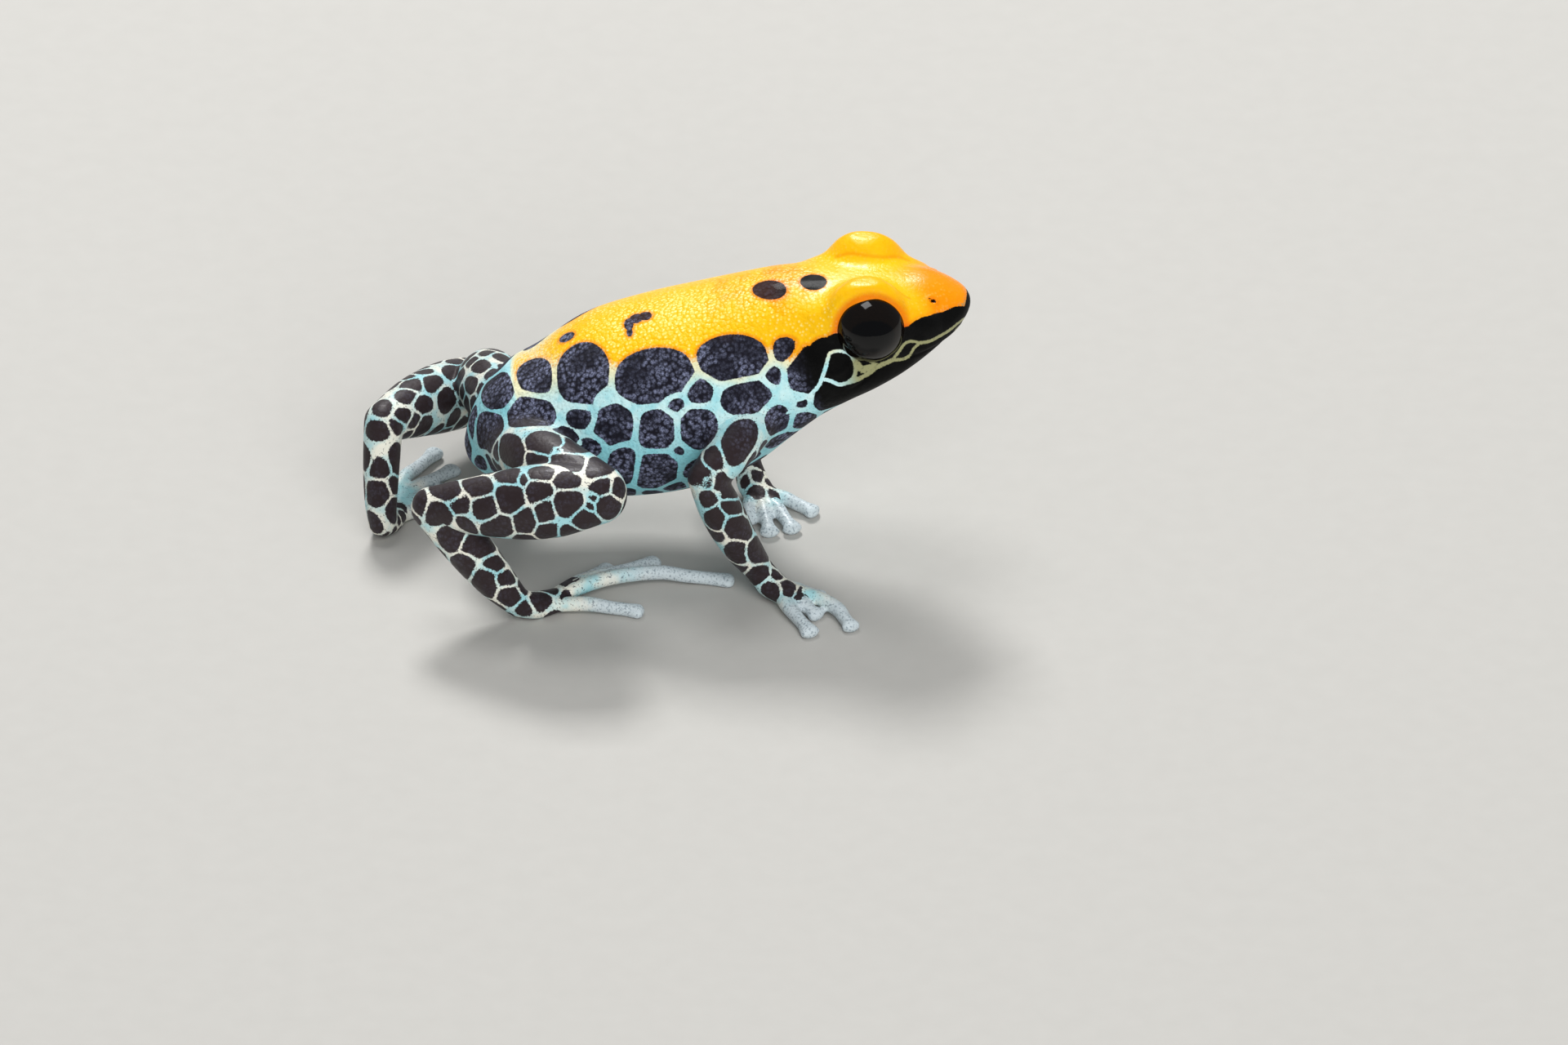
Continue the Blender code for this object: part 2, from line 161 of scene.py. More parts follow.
@dataclass(frozen=True)
class PhotoView:
    """Where the photograph was taken from, in the frog's own millimetres."""

    pixels_per_mm: float = 37.9
    elevation: float = math.radians(32.0)
    distance: float = 500.0
    width: int = 1920
    height: int = 1280
    zero_pixel: tuple[float, float] = (817.0, 655.0)

    @property
    def up(self) -> np.ndarray:
        """The picture's upward direction."""
        return np.array([0.0, math.sin(self.elevation), math.cos(self.elevation)])

    @property
    def back(self) -> np.ndarray:
        """The direction from the frog to the camera."""
        return np.array([0.0, -math.cos(self.elevation), math.sin(self.elevation)])

    @property
    def aim(self) -> np.ndarray:
        """The place in the middle of the picture.

        Returns:
            X, Y and Z.
        """
        right = (self.width / 2 - self.zero_pixel[0]) / self.pixels_per_mm
        rise = (self.zero_pixel[1] - self.height / 2) / self.pixels_per_mm
        return np.array([right, 0.0, rise / math.cos(self.elevation)])

    @property
    def eye(self) -> np.ndarray:
        """The camera's place."""
        return self.aim + self.back * self.distance

    def ray(self, x: float, y: float) -> np.ndarray:
        """The direction from the camera through a pixel.

        Args:
            x: Pixels from the left of the photograph.
            y: Pixels from its top.

        Returns:
            A direction of length 1.
        """
        across = (x - self.width / 2) / self.pixels_per_mm
        rise = (self.height / 2 - y) / self.pixels_per_mm
        way = -self.back * self.distance + np.array([across, 0, 0]) + self.up * rise
        return way / np.linalg.norm(way)


@dataclass(frozen=True)
class Section:
    """One cross-section of trunk or head, square to the body's axis, in millimetres."""

    along: float
    middle: float
    crown: float
    keel: float
    side: float
    pinch: float
    box: float


@dataclass(frozen=True)
class Trunk:
    """The body from vent to snout, one form with the head."""

    length: float = 17.16
    pitch: float = math.radians(19.2)
    vent: tuple[float, float, float] = (-6.39, 0.0, 3.11)
    sides: int = 72
    step: float = 0.11
    sections: tuple[Section, ...] = (
        Section(0.00, 0.10, 0.35, 0.30, 0.40, 0.00, 2.0),
        Section(0.35, 0.10, 0.95, 0.80, 1.00, 0.00, 2.0),
        Section(1.00, 0.10, 1.75, 1.32, 1.78, 0.00, 2.0),
        Section(2.00, 0.10, 2.36, 1.78, 2.38, 0.00, 2.1),
        Section(3.30, 0.10, 2.68, 2.26, 2.76, 0.02, 2.1),
        Section(5.00, 0.10, 3.21, 2.85, 3.08, 0.04, 2.1),
        Section(7.00, 0.05, 3.30, 3.08, 3.25, 0.05, 2.1),
        Section(9.00, 0.05, 3.11, 2.80, 3.15, 0.06, 2.2),
        Section(10.5, 0.00, 3.08, 2.10, 2.82, 0.08, 2.3),
        Section(11.6, -0.05, 3.02, 1.58, 2.62, 0.10, 2.4),
        Section(12.6, -0.10, 2.80, 1.20, 2.60, 0.14, 2.5),
        Section(13.6, -0.08, 2.50, 0.98, 2.58, 0.20, 2.6),
        Section(14.6, -0.02, 2.12, 0.82, 2.34, 0.26, 2.7),
        Section(15.5, 0.06, 1.67, 0.68, 1.94, 0.30, 2.7),
        Section(16.2, 0.12, 1.33, 0.54, 1.48, 0.30, 2.6),
        Section(16.68, 0.16, 0.86, 0.44, 1.06, 0.20, 2.4),
        Section(16.96, 0.19, 0.50, 0.31, 0.70, 0.06, 2.1),
        Section(17.11, 0.20, 0.29, 0.17, 0.37, 0.00, 2.0),
        Section(17.16, 0.20, 0.12, 0.07, 0.15, 0.00, 2.0),
    )

    @property
    def forward(self) -> np.ndarray:
        """The body axis's direction."""
        return np.array([math.cos(self.pitch), 0.0, math.sin(self.pitch)])

    @property
    def over(self) -> np.ndarray:
        """Square to the axis, towards the back."""
        return np.array([-math.sin(self.pitch), 0.0, math.cos(self.pitch)])

    def place(self, along: float, side: float, up: float) -> np.ndarray:
        """A place given from the body's axis.

        Args:
            along: Distance from the vent.
            side: Distance to the frog's left.
            up: Distance over the axis.

        Returns:
            X, Y and Z.
        """
        return np.array(self.vent) + self.forward * along + self.over * up + np.array([0, side, 0])

    def read(self, points: np.ndarray) -> tuple[np.ndarray, np.ndarray, np.ndarray]:
        """Gives places as the body's axis sees them.

        Args:
            points: Rows of X, Y and Z.

        Returns:
            Distances along the axis, to the left and over it.
        """
        off = points - np.array(self.vent)
        return off @ self.forward, off[:, 1], off @ self.over

    def sizes(self, along: np.ndarray) -> np.ndarray:
        """The sections' sizes at distances along the axis.

        Args:
            along: Distances from the vent.

        Returns:
            Rows of numbers in the order of Section's fields.
        """
        table = np.array([astuple(s) for s in self.sections])
        keys = table[:, 0]
        slopes = np.gradient(table, keys, axis=0)
        at = np.clip(along, keys[0], keys[-1])
        k = np.clip(np.searchsorted(keys, at) - 1, 0, len(keys) - 2)
        width = (keys[k + 1] - keys[k])[:, None]
        t = (at - keys[k])[:, None] / width
        start = (1 + 2 * t) * (1 - t) ** 2 * table[k] + t * (1 - t) ** 2 * width * slopes[k]
        end = t * t * (3 - 2 * t) * table[k + 1] + t * t * (t - 1) * width * slopes[k + 1]
        return start + end

    def skin_point(self, along: float, up: float, side: Side) -> np.ndarray:
        """A place on the plain skin at a height over the axis.

        Args:
            along: Distance from the vent.
            up: Height over the axis.
            side: Which side of the frog.

        Returns:
            X, Y and Z.
        """
        _, middle, crown, keel, half, pinch, box = self.sizes(np.array([along]))[0]
        reach = crown if up > middle else keel
        share = min(abs(up - middle) / reach, 1.0)
        out = half * (1 - share**box) ** (1 / box)
        if up > middle:
            out *= 1 - pinch * share
        return self.place(along, side.value * out, up)

    def rings(self) -> list[np.ndarray]:
        """The sections as rings of points, vent to snout.

        Returns:
            One array of points a ring.
        """
        turns = 2 * np.pi * np.arange(self.sides) / self.sides
        across, rise = np.cos(turns), np.sin(turns)
        rings = []
        for row in self.sizes(np.linspace(0, self.length, round(self.length / self.step))):
            along, middle, crown, keel, half, pinch, box = row
            power = 2 / box
            share = np.sign(rise) * np.abs(rise) ** power
            side = half * np.sign(across) * np.abs(across) ** power
            side *= np.where(rise > 0, 1 - pinch * share, 1.0)
            up = middle + np.where(rise > 0, crown, keel) * share
            base = np.array(self.vent) + self.forward * along
            rings.append(base + up[:, None] * self.over + side[:, None] * np.array([0, 1.0, 0]))
        return rings

    def closeness(self, points: np.ndarray) -> np.ndarray:
        """How far places lie from the axis as a share of the section, 1 on the skin.

        Args:
            points: Rows of X, Y and Z.

        Returns:
            One number a row.
        """
        along, side, up = self.read(points)
        rows = self.sizes(along)
        rise = up - rows[:, 1]
        reach = np.where(rise > 0, rows[:, 2], rows[:, 3])
        past = np.maximum(along - self.length, 0) + np.maximum(-along, 0)
        return np.hypot(side / rows[:, 4], rise / reach) + past


@dataclass
class Clay:
    """Closed forms laid into one another before they are joined into one skin."""

    points: list[np.ndarray] = field(default_factory=list)
    faces: list[tuple[int, ...]] = field(default_factory=list)
    count: int = 0

    def add_rings(self, rings: Sequence[np.ndarray]) -> None:
        """Lays in a closed form through rings of points.

        Args:
            rings: Rings with as many points each, in order.
        """
        sides = len(rings[0])
        for n in range(len(rings) - 1):
            low, high = self.count + n * sides, self.count + (n + 1) * sides
            for k in range(sides):
                j = (k + 1) % sides
                self.faces.append((low + k, low + j, high + j, high + k))
        self.faces.append(tuple(self.count + k for k in reversed(range(sides))))
        last = self.count + (len(rings) - 1) * sides
        self.faces.append(tuple(last + k for k in range(sides)))
        self.points.extend(rings)
        self.count += sides * len(rings)

    def add_ball(self, centre: Sequence[float], reach: Sequence[float], sides: int = 32) -> None:
        """Lays in an ellipsoid.

        Args:
            centre: Its middle.
            reach: Its half sizes.
            sides: Points round it.
        """
        rings = []
        turns = 2 * np.pi * np.arange(sides) / sides
        for lean in np.linspace(-0.5, 0.5, sides // 2 + 1)[1:-1] * np.pi:
            wide = np.cos(turns) * math.cos(lean) * reach[0]
            deep = np.sin(turns) * math.cos(lean) * reach[1]
            tall = np.full(sides, math.sin(lean) * reach[2])
            rings.append(np.stack([wide, deep, tall], axis=1) + np.array(centre))
        self.add_rings(rings)

    def mesh(self, name: str) -> bpy.types.Mesh:
        """The forms as one mesh.

        Args:
            name: The mesh's name.

        Returns:
            The mesh, in millimetres.
        """
        data = bpy.data.meshes.new(name)
        data.from_pydata(np.vstack(self.points).tolist(), [], self.faces)
        return data


@dataclass(frozen=True)
class Limb:
    """A round limb through stations of X, Y, Z, half width and half height, in millimetres."""

    stations: tuple[tuple[float, ...], ...]
    region: Region
    sides: int = 28
    per_span: int = 9
    cap_rings: int = 6
    cap_gap: float = 0.4
    upright: float = 0.2

    def spine(self) -> np.ndarray:
        """The limb's middle line and half sizes, closely drawn."""
        return spline(self.stations, self.per_span * (len(self.stations) - 1) + 1)

    def rings(self) -> list[np.ndarray]:
        """The limb as rings, with round ends.

        Returns:
            One array of points a ring.
        """
        rows = self.spine()
        centres, halves = rows[:, :3], rows[:, 3:]
        tangents = unit(np.gradient(centres, axis=0))
        spans = list(zip(centres, tangents, halves))
        for k in range(1, self.cap_rings + 1):
            turn = 0.5 * math.pi * k / (self.cap_rings + self.cap_gap)
            shrink, reach = math.cos(turn), math.sin(turn)
            before = centres[0] - tangents[0] * reach * min(halves[0])
            after = centres[-1] + tangents[-1] * reach * min(halves[-1])
            spans.insert(0, (before, tangents[0], halves[0] * shrink))
            spans.append((after, tangents[-1], halves[-1] * shrink))
        across = np.cross([0.0, 0.0, 1.0], spans[0][1])
        # A limb that starts upright has no level direction of its own
        if np.linalg.norm(across) < self.upright:
            across = np.array([0.0, 1.0, 0.0])
        turns = 2 * np.pi * (np.arange(self.sides) + 0.5) / self.sides
        rings = []
        for centre, tangent, (width, height) in spans:
            across = across - tangent * (across @ tangent)
            across = across / np.linalg.norm(across)
            over = np.cross(tangent, across)
            sideways = np.outer(np.cos(turns) * width, across)
            rings.append(centre + sideways + np.outer(np.sin(turns) * height, over))
        return rings


@dataclass(frozen=True)
class Digit:
    """A finger or toe, slightly knuckled, with a widened pad at its tip."""

    points: tuple[tuple[float, float, float], ...]
    width: float = 0.25
    height: float = 0.25
    pad_width: float = 0.35
    pad_height: float = 0.21
    necks: tuple[tuple[float, float], ...] = ((0.45, 0.92), (0.74, 0.9))

    def limb(self) -> Limb:
        """The digit as a limb through its knuckles.

        Returns:
            The limb.
        """
        tip = np.array(self.points[-1])
        before = np.array(self.points[-2])
        stations = [(*p, self.width, self.height) for p in self.points[:-1]]
        for share, slim in self.necks:
            neck = before + (tip - before) * share
            stations.append((*neck, self.width * slim, self.height * slim))
        stations.append((*tip, self.pad_width, self.pad_height))
        return Limb(tuple(stations), Region.DIGIT, sides=20, per_span=6, cap_rings=5)


@dataclass(frozen=True)
class Arm:
    """One fore limb, from shoulder to fingertips."""

    side: Side
    upper: tuple[tuple[float, ...], ...]
    fore: tuple[tuple[float, ...], ...]
    palm: tuple[tuple[float, ...], ...]
    fingers: tuple[tuple[tuple[float, float, float], ...], ...]

    def limbs(self) -> list[Limb]:
        """The arm's pieces."""
        pieces = [Limb(s, Region.ARM) for s in (self.upper, self.fore)]
        return [*pieces, Limb(self.palm, Region.PAW), *(Digit(f).limb() for f in self.fingers)]

    def nodes(self) -> list[str]:
        """The solids that the skin stands for."""
        return [f"{piece}_{self.side.word}" for piece in ("upper_arm", "forearm", "hand")]


@dataclass(frozen=True)
class Leg:
    """One hind limb, from hip to toes."""

    side: Side
    thigh: tuple[tuple[float, ...], ...]
    shank: tuple[tuple[float, ...], ...]
    tarsus: tuple[tuple[float, ...], ...]
    sole: tuple[tuple[float, ...], ...]
    toes: tuple[tuple[tuple[float, float, float], ...], ...]

    def limbs(self) -> list[Limb]:
        """The leg's pieces."""
        pieces = [Limb(s, Region.LEG) for s in (self.thigh, self.shank, self.tarsus)]
        return [*pieces, Limb(self.sole, Region.PAW), *(Digit(t).limb() for t in self.toes)]

    def nodes(self) -> list[str]:
        """The solids that the skin stands for."""
        return [f"{piece}_{self.side.word}" for piece in ("thigh", "shank", "tarsus", "foot")]


NEAR_ARM = Arm(
    side=Side.RIGHT,
    upper=((2.85, -1.9, 6.0, 1.0, 1.0), (2.2, -3.3, 5.5, 0.8, 0.8), (1.3, -4.35, 4.85, 0.62, 0.62)),
    fore=(
        (1.3, -4.35, 4.85, 0.6, 0.6),
        (1.75, -4.2, 3.6, 0.7, 0.7),
        (2.35, -3.85, 2.1, 0.63, 0.63),
        (2.95, -3.55, 0.95, 0.47, 0.47),
    ),
    palm=(
        (2.95, -3.55, 0.95, 0.46, 0.46),
        (3.35, -3.75, 0.5, 0.55, 0.42),
        (3.9, -4.15, 0.32, 0.5, 0.34),
    ),
    fingers=(
        ((3.6, -3.8, 0.34), (3.85, -4.7, 0.3), (4.6, -6.15, 0.17)),
        ((3.6, -3.9, 0.32), (4.2, -4.5, 0.32), (4.8, -5.1, 0.17)),
        ((3.5, -3.7, 0.34), (4.9, -4.42, 0.34), (5.5, -4.95, 0.28), (5.91, -5.8, 0.17)),
        ((3.4, -3.6, 0.32), (4.1, -3.75, 0.3), (4.95, -4.05, 0.17)),
    ),
)
FAR_ARM = Arm(
    side=Side.LEFT,
    upper=((2.85, 1.9, 6.0, 1.0, 1.0), (2.1, 3.5, 5.2, 0.8, 0.8), (1.3, 4.4, 4.1, 0.62, 0.62)),
    fore=(
        (1.3, 4.4, 4.1, 0.6, 0.6),
        (1.6, 4.0, 3.1, 0.7, 0.7),
        (2.2, 3.3, 1.9, 0.61, 0.61),
        (2.6, 2.7, 0.95, 0.47, 0.47),
    ),
    palm=(
        (2.6, 2.7, 0.95, 0.46, 0.46),
        (2.8, 2.25, 0.5, 0.55, 0.42),
        (3.15, 1.65, 0.32, 0.5, 0.34),
    ),
    fingers=(
        ((2.9, 2.1, 0.34), (3.75, 1.75, 0.32), (4.7, 1.15, 0.17)),
        ((2.9, 2.1, 0.34), (3.5, 1.2, 0.34), (4.05, 0.1, 0.17)),
        ((2.9, 2.1, 0.34), (3.1, 1.1, 0.32), (3.3, -0.1, 0.17)),
        ((2.8, 2.2, 0.32), (2.65, 1.3, 0.3), (2.6, 0.6, 0.17)),
    ),
)
NEAR_LEG = Leg(
    side=Side.RIGHT,
    thigh=(
        (-4.9, -0.9, 4.2, 1.1, 1.15),
        (-3.85, -3.4, 4.75, 1.12, 1.2),
        (-2.15, -5.4, 4.92, 0.94, 1.0),
    ),
    shank=(
        (-2.15, -5.4, 4.92, 0.94, 1.0),
        (-3.7, -5.4, 4.66, 1.13, 1.24),
        (-5.4, -5.05, 4.28, 1.0, 1.09),
        (-7.5, -4.5, 3.85, 0.64, 0.68),
    ),
    tarsus=(
        (-7.5, -4.5, 3.85, 0.64, 0.68),
        (-6.45, -4.75, 2.65, 0.72, 0.77),
        (-5.52, -5.0, 1.5, 0.64, 0.66),
        (-4.75, -5.1, 0.62, 0.46, 0.46),
    ),
    sole=(
        (-4.75, -5.1, 0.62, 0.46, 0.46),
        (-4.2, -4.85, 0.38, 0.52, 0.42),
        (-3.6, -4.5, 0.32, 0.5, 0.34),
    ),
    toes=(
        ((-4.1, -4.8, 0.3), (-3.75, -4.3, 0.3), (-3.35, -3.8, 0.17)),
        ((-4.0, -4.7, 0.32), (-3.0, -3.6, 0.36), (-1.9, -2.35, 0.17)),
        ((-4.0, -4.7, 0.34), (-2.4, -3.35, 0.42), (-0.4, -1.95, 0.17)),
        ((-4.0, -4.7, 0.36), (-2.1, -3.55, 0.5), (-0.4, -2.95, 0.42), (2.0, -3.05, 0.17)),
        ((-4.0, -4.8, 0.34), (-2.6, -4.75, 0.36), (-0.9, -4.9, 0.17)),
    ),
)
FAR_LEG = Leg(
    side=Side.LEFT,
    thigh=((-5.1, 0.9, 4.1, 1.0, 1.05), (-5.75, 3.6, 3.5, 1.1, 1.15), (-5.7, 6.0, 2.0, 0.88, 0.94)),
    shank=(
        (-5.7, 6.0, 2.0, 0.88, 0.94),
        (-6.95, 4.7, 2.45, 1.1, 1.18),
        (-8.1, 3.0, 3.05, 0.97, 1.04),
        (-9.15, 1.2, 3.55, 0.64, 0.68),
    ),
    tarsus=(
        (-9.15, 1.2, 3.55, 0.64, 0.68),
        (-9.22, 0.6, 2.35, 0.6, 0.63),
        (-9.24, 0.05, 1.35, 0.54, 0.57),
        (-9.2, -0.25, 0.62, 0.46, 0.46),
    ),
    sole=(
        (-9.2, -0.25, 0.62, 0.46, 0.46),
        (-9.05, 0.25, 0.38, 0.52, 0.42),
        (-8.85, 0.9, 0.32, 0.5, 0.34),
    ),
    toes=(
        ((-8.95, 0.5, 0.3), (-8.4, 0.85, 0.3), (-7.9, 1.3, 0.17)),
        ((-9.0, 0.5, 0.32), (-8.1, 1.6, 0.34), (-7.15, 2.5, 0.17)),
        ((-9.0, 0.5, 0.34), (-8.2, 2.2, 0.38), (-7.0, 3.7, 0.17)),
        ((-9.0, 0.5, 0.34), (-8.6, 2.7, 0.4), (-7.6, 4.75, 0.17)),
        ((-9.0, 0.5, 0.32), (-9.25, 2.0, 0.34), (-9.1, 3.5, 0.17)),
    ),
)


@dataclass(frozen=True)
class Face:
    """Sizes of the lids, mouth, nostrils and ears on the head, in millimetres.

    lid_sweep is how far behind its opening a lid reaches, in radians. lid_fade says, in eye
    radii, where it starts to follow the eyeball and where it does so in full. ear_hollow is
    the eardrum's depth and width as shares of its rim's height and radius.
    """

    eye_radius: float = 1.15
    eye_centre: tuple[float, float, float] = (6.52, 1.70, 8.91)
    lid_centre: tuple[float, float, float] = (6.40, 1.62, 8.98)
    lid_reach: tuple[float, float, float] = (1.42, 1.34, 1.58)
    brow_centre: tuple[float, float, float] = (6.28, 1.27, 8.60)
    brow_reach: tuple[float, float, float] = (2.62, 1.04, 1.28)
    opening: float = math.radians(71.5)
    opening_lift: float = math.radians(13.0)
    opening_lead: float = math.radians(4.0)
    lid_thickness: float = 0.03
    lid_curve: float = math.radians(19.0)
    lid_slope: float = 0.6
    lid_tuck: float = 0.16
    lid_sweep: float = 0.9
    lid_fade: tuple[float, float] = (1.6, 1.35)
    lid_sides: int = 48
    mouth_start: float = 12.7
    mouth_end: float = 16.8
    mouth_corner: float = -0.32
    mouth_arch: float = 0.34
    mouth_lead: float = 1.15
    mouth_bow: float = 1.5
    mouth_steps: int = 60
    mouth_fade: tuple[float, float] = (-0.1, 0.8)
    mouth_width: float = 0.055
    mouth_depth: float = 0.075
    lip_rise: float = 0.17
    lip_height: float = 0.03
    lip_width: float = 0.1
    nostril: tuple[float, float] = (16.15, 1.08)
    nostril_width: float = 0.065
    nostril_depth: float = 0.11
    nostril_rim: float = 0.035
    nostril_rim_radius: float = 0.15
    nostril_rim_width: float = 0.07
    ear: tuple[float, float] = (12.75, 0.75)
    ear_radius: float = 0.42
    ear_rim: float = 0.03
    ear_rim_width: float = 0.09
    ear_hollow: tuple[float, float] = (0.8, 0.7)
    head_start: float = 11.5

    def eye_at(self, side: Side) -> np.ndarray:
        """The middle of one eye."""
        return np.array([self.eye_centre[0], side.value * self.eye_centre[1], self.eye_centre[2]])

    def gaze(self, side: Side) -> np.ndarray:
        """The direction that one eye looks in.

        Args:
            side: Which eye.

        Returns:
            A direction of length 1.
        """
        flat = math.cos(self.opening_lift)
        out = side.value * flat * math.cos(self.opening_lead)
        return np.array([flat * math.sin(self.opening_lead), out, math.sin(self.opening_lift)])

    def add_lids(self, clay: Clay) -> None:
        """Lays the bulges over both eyes into the clay.

        Args:
            clay: The forms of the flesh.
        """
        for side in Side:
            for (x, y, z), reach in self.bulges():
                clay.add_ball((x, side.value * y, z), reach, self.lid_sides)

    def bulges(self) -> list[tuple[tuple[float, float, float], tuple[float, float, float]]]:
        """Middles and half sizes of a lid and the brow under it."""
        return [(self.lid_centre, self.lid_reach), (self.brow_centre, self.brow_reach)]

    def mouth_points(self, trunk: Trunk) -> np.ndarray:
        """Closely set places along the line of the mouth, right corner to left.

        Args:
            trunk: The body that the face sits on.

        Returns:
            Rows of X, Y and Z.
        """
        right = []
        for along in np.linspace(self.mouth_start, self.mouth_end, self.mouth_steps):
            ease = (along - self.mouth_start) / (self.mouth_end - self.mouth_start)
            arch = math.sin(math.pi * min(ease * self.mouth_lead, 1.0)) ** self.mouth_bow
            up = self.mouth_corner + self.mouth_arch * arch
            right.append(trunk.skin_point(along, up, Side.RIGHT))
        tip = trunk.place(trunk.length, 0.0, self.mouth_corner)
        left = [p * np.array([1, -1, 1]) for p in reversed(right)]
        keys = np.array([*right, tip, *left])
        return spline(keys, 4 * len(keys))

    def seam(self, points: np.ndarray, on_trunk: np.ndarray, reach: float) -> np.ndarray:
        """Says where the lids and brows meet the head and each other.

        Args:
            points: Places on the skin.
            on_trunk: 1 on the plain head, falling to 0 away from it.
            reach: How far from both surfaces a place still counts.

        Returns:
            1 in the crease, falling to 0.
        """
        crease = np.zeros(len(points))
        for side in Side:
            shares = []
            for centre, half in self.bulges():
                middle = np.array([centre[0], side.value * centre[1], centre[2]])
                ratio = np.linalg.norm((points - middle) / np.array(half), axis=1)
                shares.append(np.exp(-(((ratio - 1) * np.mean(half) / reach) ** 2)))
            crease = np.maximum(crease, np.maximum(*shares) * on_trunk)
            crease = np.maximum(crease, shares[0] * shares[1])
        return crease

    def open_eyes(self, points: np.ndarray) -> np.ndarray:
        """Draws the skin onto the eyeballs, with a thin lid round each opening.

        Args:
            points: The skin's points.

        Returns:
            The points after the move.
        """
        moved = points.copy()
        for side in Side:
            centre = self.eye_at(side)
            off = points - centre
            far = np.linalg.norm(off, axis=1)
            way = off / np.maximum(far, 1e-9)[:, None]
            turned = np.arccos(np.clip(way @ self.gaze(side), -1, 1))
            near = far < self.eye_radius * self.lid_fade[0]
            edge = self.eye_radius + self.lid_thickness
            back = np.clip(1 - (turned - self.opening) / self.lid_curve, 0, 1)
            lid = edge + (np.maximum(far, edge) - edge) * np.sqrt(1 - back**2)
            # Inside the opening it slips under the eyeball's surface at a low angle
            drop = (self.opening - turned) * self.eye_radius * self.lid_slope
            target = lid - np.clip(drop, 0, self.lid_tuck)
            target = np.where(turned > self.opening + self.lid_sweep, far, target)
            new = far + (target - far) * smooth_step(*self.lid_fade, far / self.eye_radius)
            moved[near] = (centre + way * new[:, None])[near]
        return moved

    def eye_gap(self, points: np.ndarray) -> np.ndarray:
        """How far places lie from the middle of the nearer eye."""
        return np.minimum(*(np.linalg.norm(points - self.eye_at(side), axis=1) for side in Side))

    def press(self, points: np.ndarray, normals: np.ndarray, trunk: Trunk) -> np.ndarray:
        """Presses in the mouth's line and nostrils and raises lips and ear rims.

        Args:
            points: The skin's points.
            normals: Their normals.
            trunk: The body that the face sits on.

        Returns:
            The points after the move.
        """
        push = np.zeros(len(points))
        along, _, _ = trunk.read(points)
        head = np.nonzero(along > self.head_start)[0]
        line = self.mouth_points(trunk)
        gaps, rises = nearest_on_line(points[head], line, trunk.over)
        start, end = (self.mouth_start + step for step in self.mouth_fade)
        fade = smooth_step(start, end, along[head])
        push[head] -= self.mouth_depth * np.exp(-((gaps / self.mouth_width) ** 2)) * fade
        lip = np.exp(-(((gaps - self.lip_rise) / self.lip_width) ** 2)) * (rises > 0)
        push[head] += self.lip_height * lip * fade
        for side in Side:
            hole = trunk.skin_point(*self.nostril, side)
            gap = np.linalg.norm(points - hole, axis=1)
            push -= self.nostril_depth * np.exp(-((gap / self.nostril_width) ** 2))
            rim = (gap - self.nostril_rim_radius) / self.nostril_rim_width
            push += self.nostril_rim * np.exp(-(rim**2))
            drum = trunk.skin_point(*self.ear, side)
            ring = np.linalg.norm(points - drum, axis=1)
            rim = (ring - self.ear_radius) / self.ear_rim_width
            push += self.ear_rim * np.exp(-(rim**2))
            depth, width = self.ear_hollow
            push -= self.ear_rim * depth * np.exp(-((ring / (self.ear_radius * width)) ** 4))
        return points + normals * push[:, None]


def nearest_on_line(
    points: np.ndarray, line: np.ndarray, up: np.ndarray
) -> tuple[np.ndarray, np.ndarray]:
    """Finds how far points lie from a line, and how far over it.

    Args:
        points: Rows of X, Y and Z.
        line: Places along the line.
        up: The direction that counts as over.

    Returns:
        Distances, and heights over the line's nearest place.
    """
    gaps = np.full(len(points), 1e9)
    rises = np.zeros(len(points))
    for spot in line:
        off = points - spot
        gap = np.linalg.norm(off, axis=1)
        better = gap < gaps
        gaps[better] = gap[better]
        rises[better] = (off @ up)[better]
    return gaps, rises


@dataclass(frozen=True)
class Spot:
    """A black marking as the photograph shows it: middle, width, height in pixels, and tilt.

    Spots of one patch run together, with no line of the net between them.
    """

    x: float
    y: float
    width: float
    height: float
    tilt: float = 0.0
    patch: str = ""


@dataclass(frozen=True)
class Stroke:
    """A fine line of the net over black skin: its width in millimetres, and its pixels."""

    width: float
    points: tuple[tuple[float, float], ...]


def spots_of(*rows: tuple[float, ...], patch: str = "") -> tuple[Spot, ...]:
    """Spots of one patch, or each alone, from rows of middle, width, height and tilt."""
    return tuple(Spot(*row, patch=patch) for row in rows)


BACK_SPOTS = spots_of(
    (942, 354, 40, 22), (996, 345, 31, 18),
) + spots_of(
    (790, 387, 15, 9, 10), (779, 390, 16, 10, 15), (770, 397, 10, 13), (771, 407, 6, 9),
    patch="hook",
) + spots_of(
    (694, 413, 19, 9, 25),
)
FLANK_SPOTS = spots_of(
    (607, 477, 36, 44, -25), (655, 460, 43, 42), (712, 457, 64, 76), (801, 461, 97, 66, 8),
    (897, 439, 86, 54), (962, 430, 30, 29), (597, 528, 36, 51), (649, 508, 60, 41),
    (711, 512, 32, 24, -10), (751, 522, 50, 50), (804, 528, 45, 52), (855, 525, 45, 50),
    (827, 493, 24, 22), (855, 480, 33, 32), (914, 486, 60, 40, 15), (947, 460, 20, 22),
    (737, 485, 14, 10, 30), (831, 552, 12, 8), (764, 572, 35, 46, 12), (803, 580, 54, 44, 20),
    (850, 572, 34, 42), (700, 545, 44, 26),
)
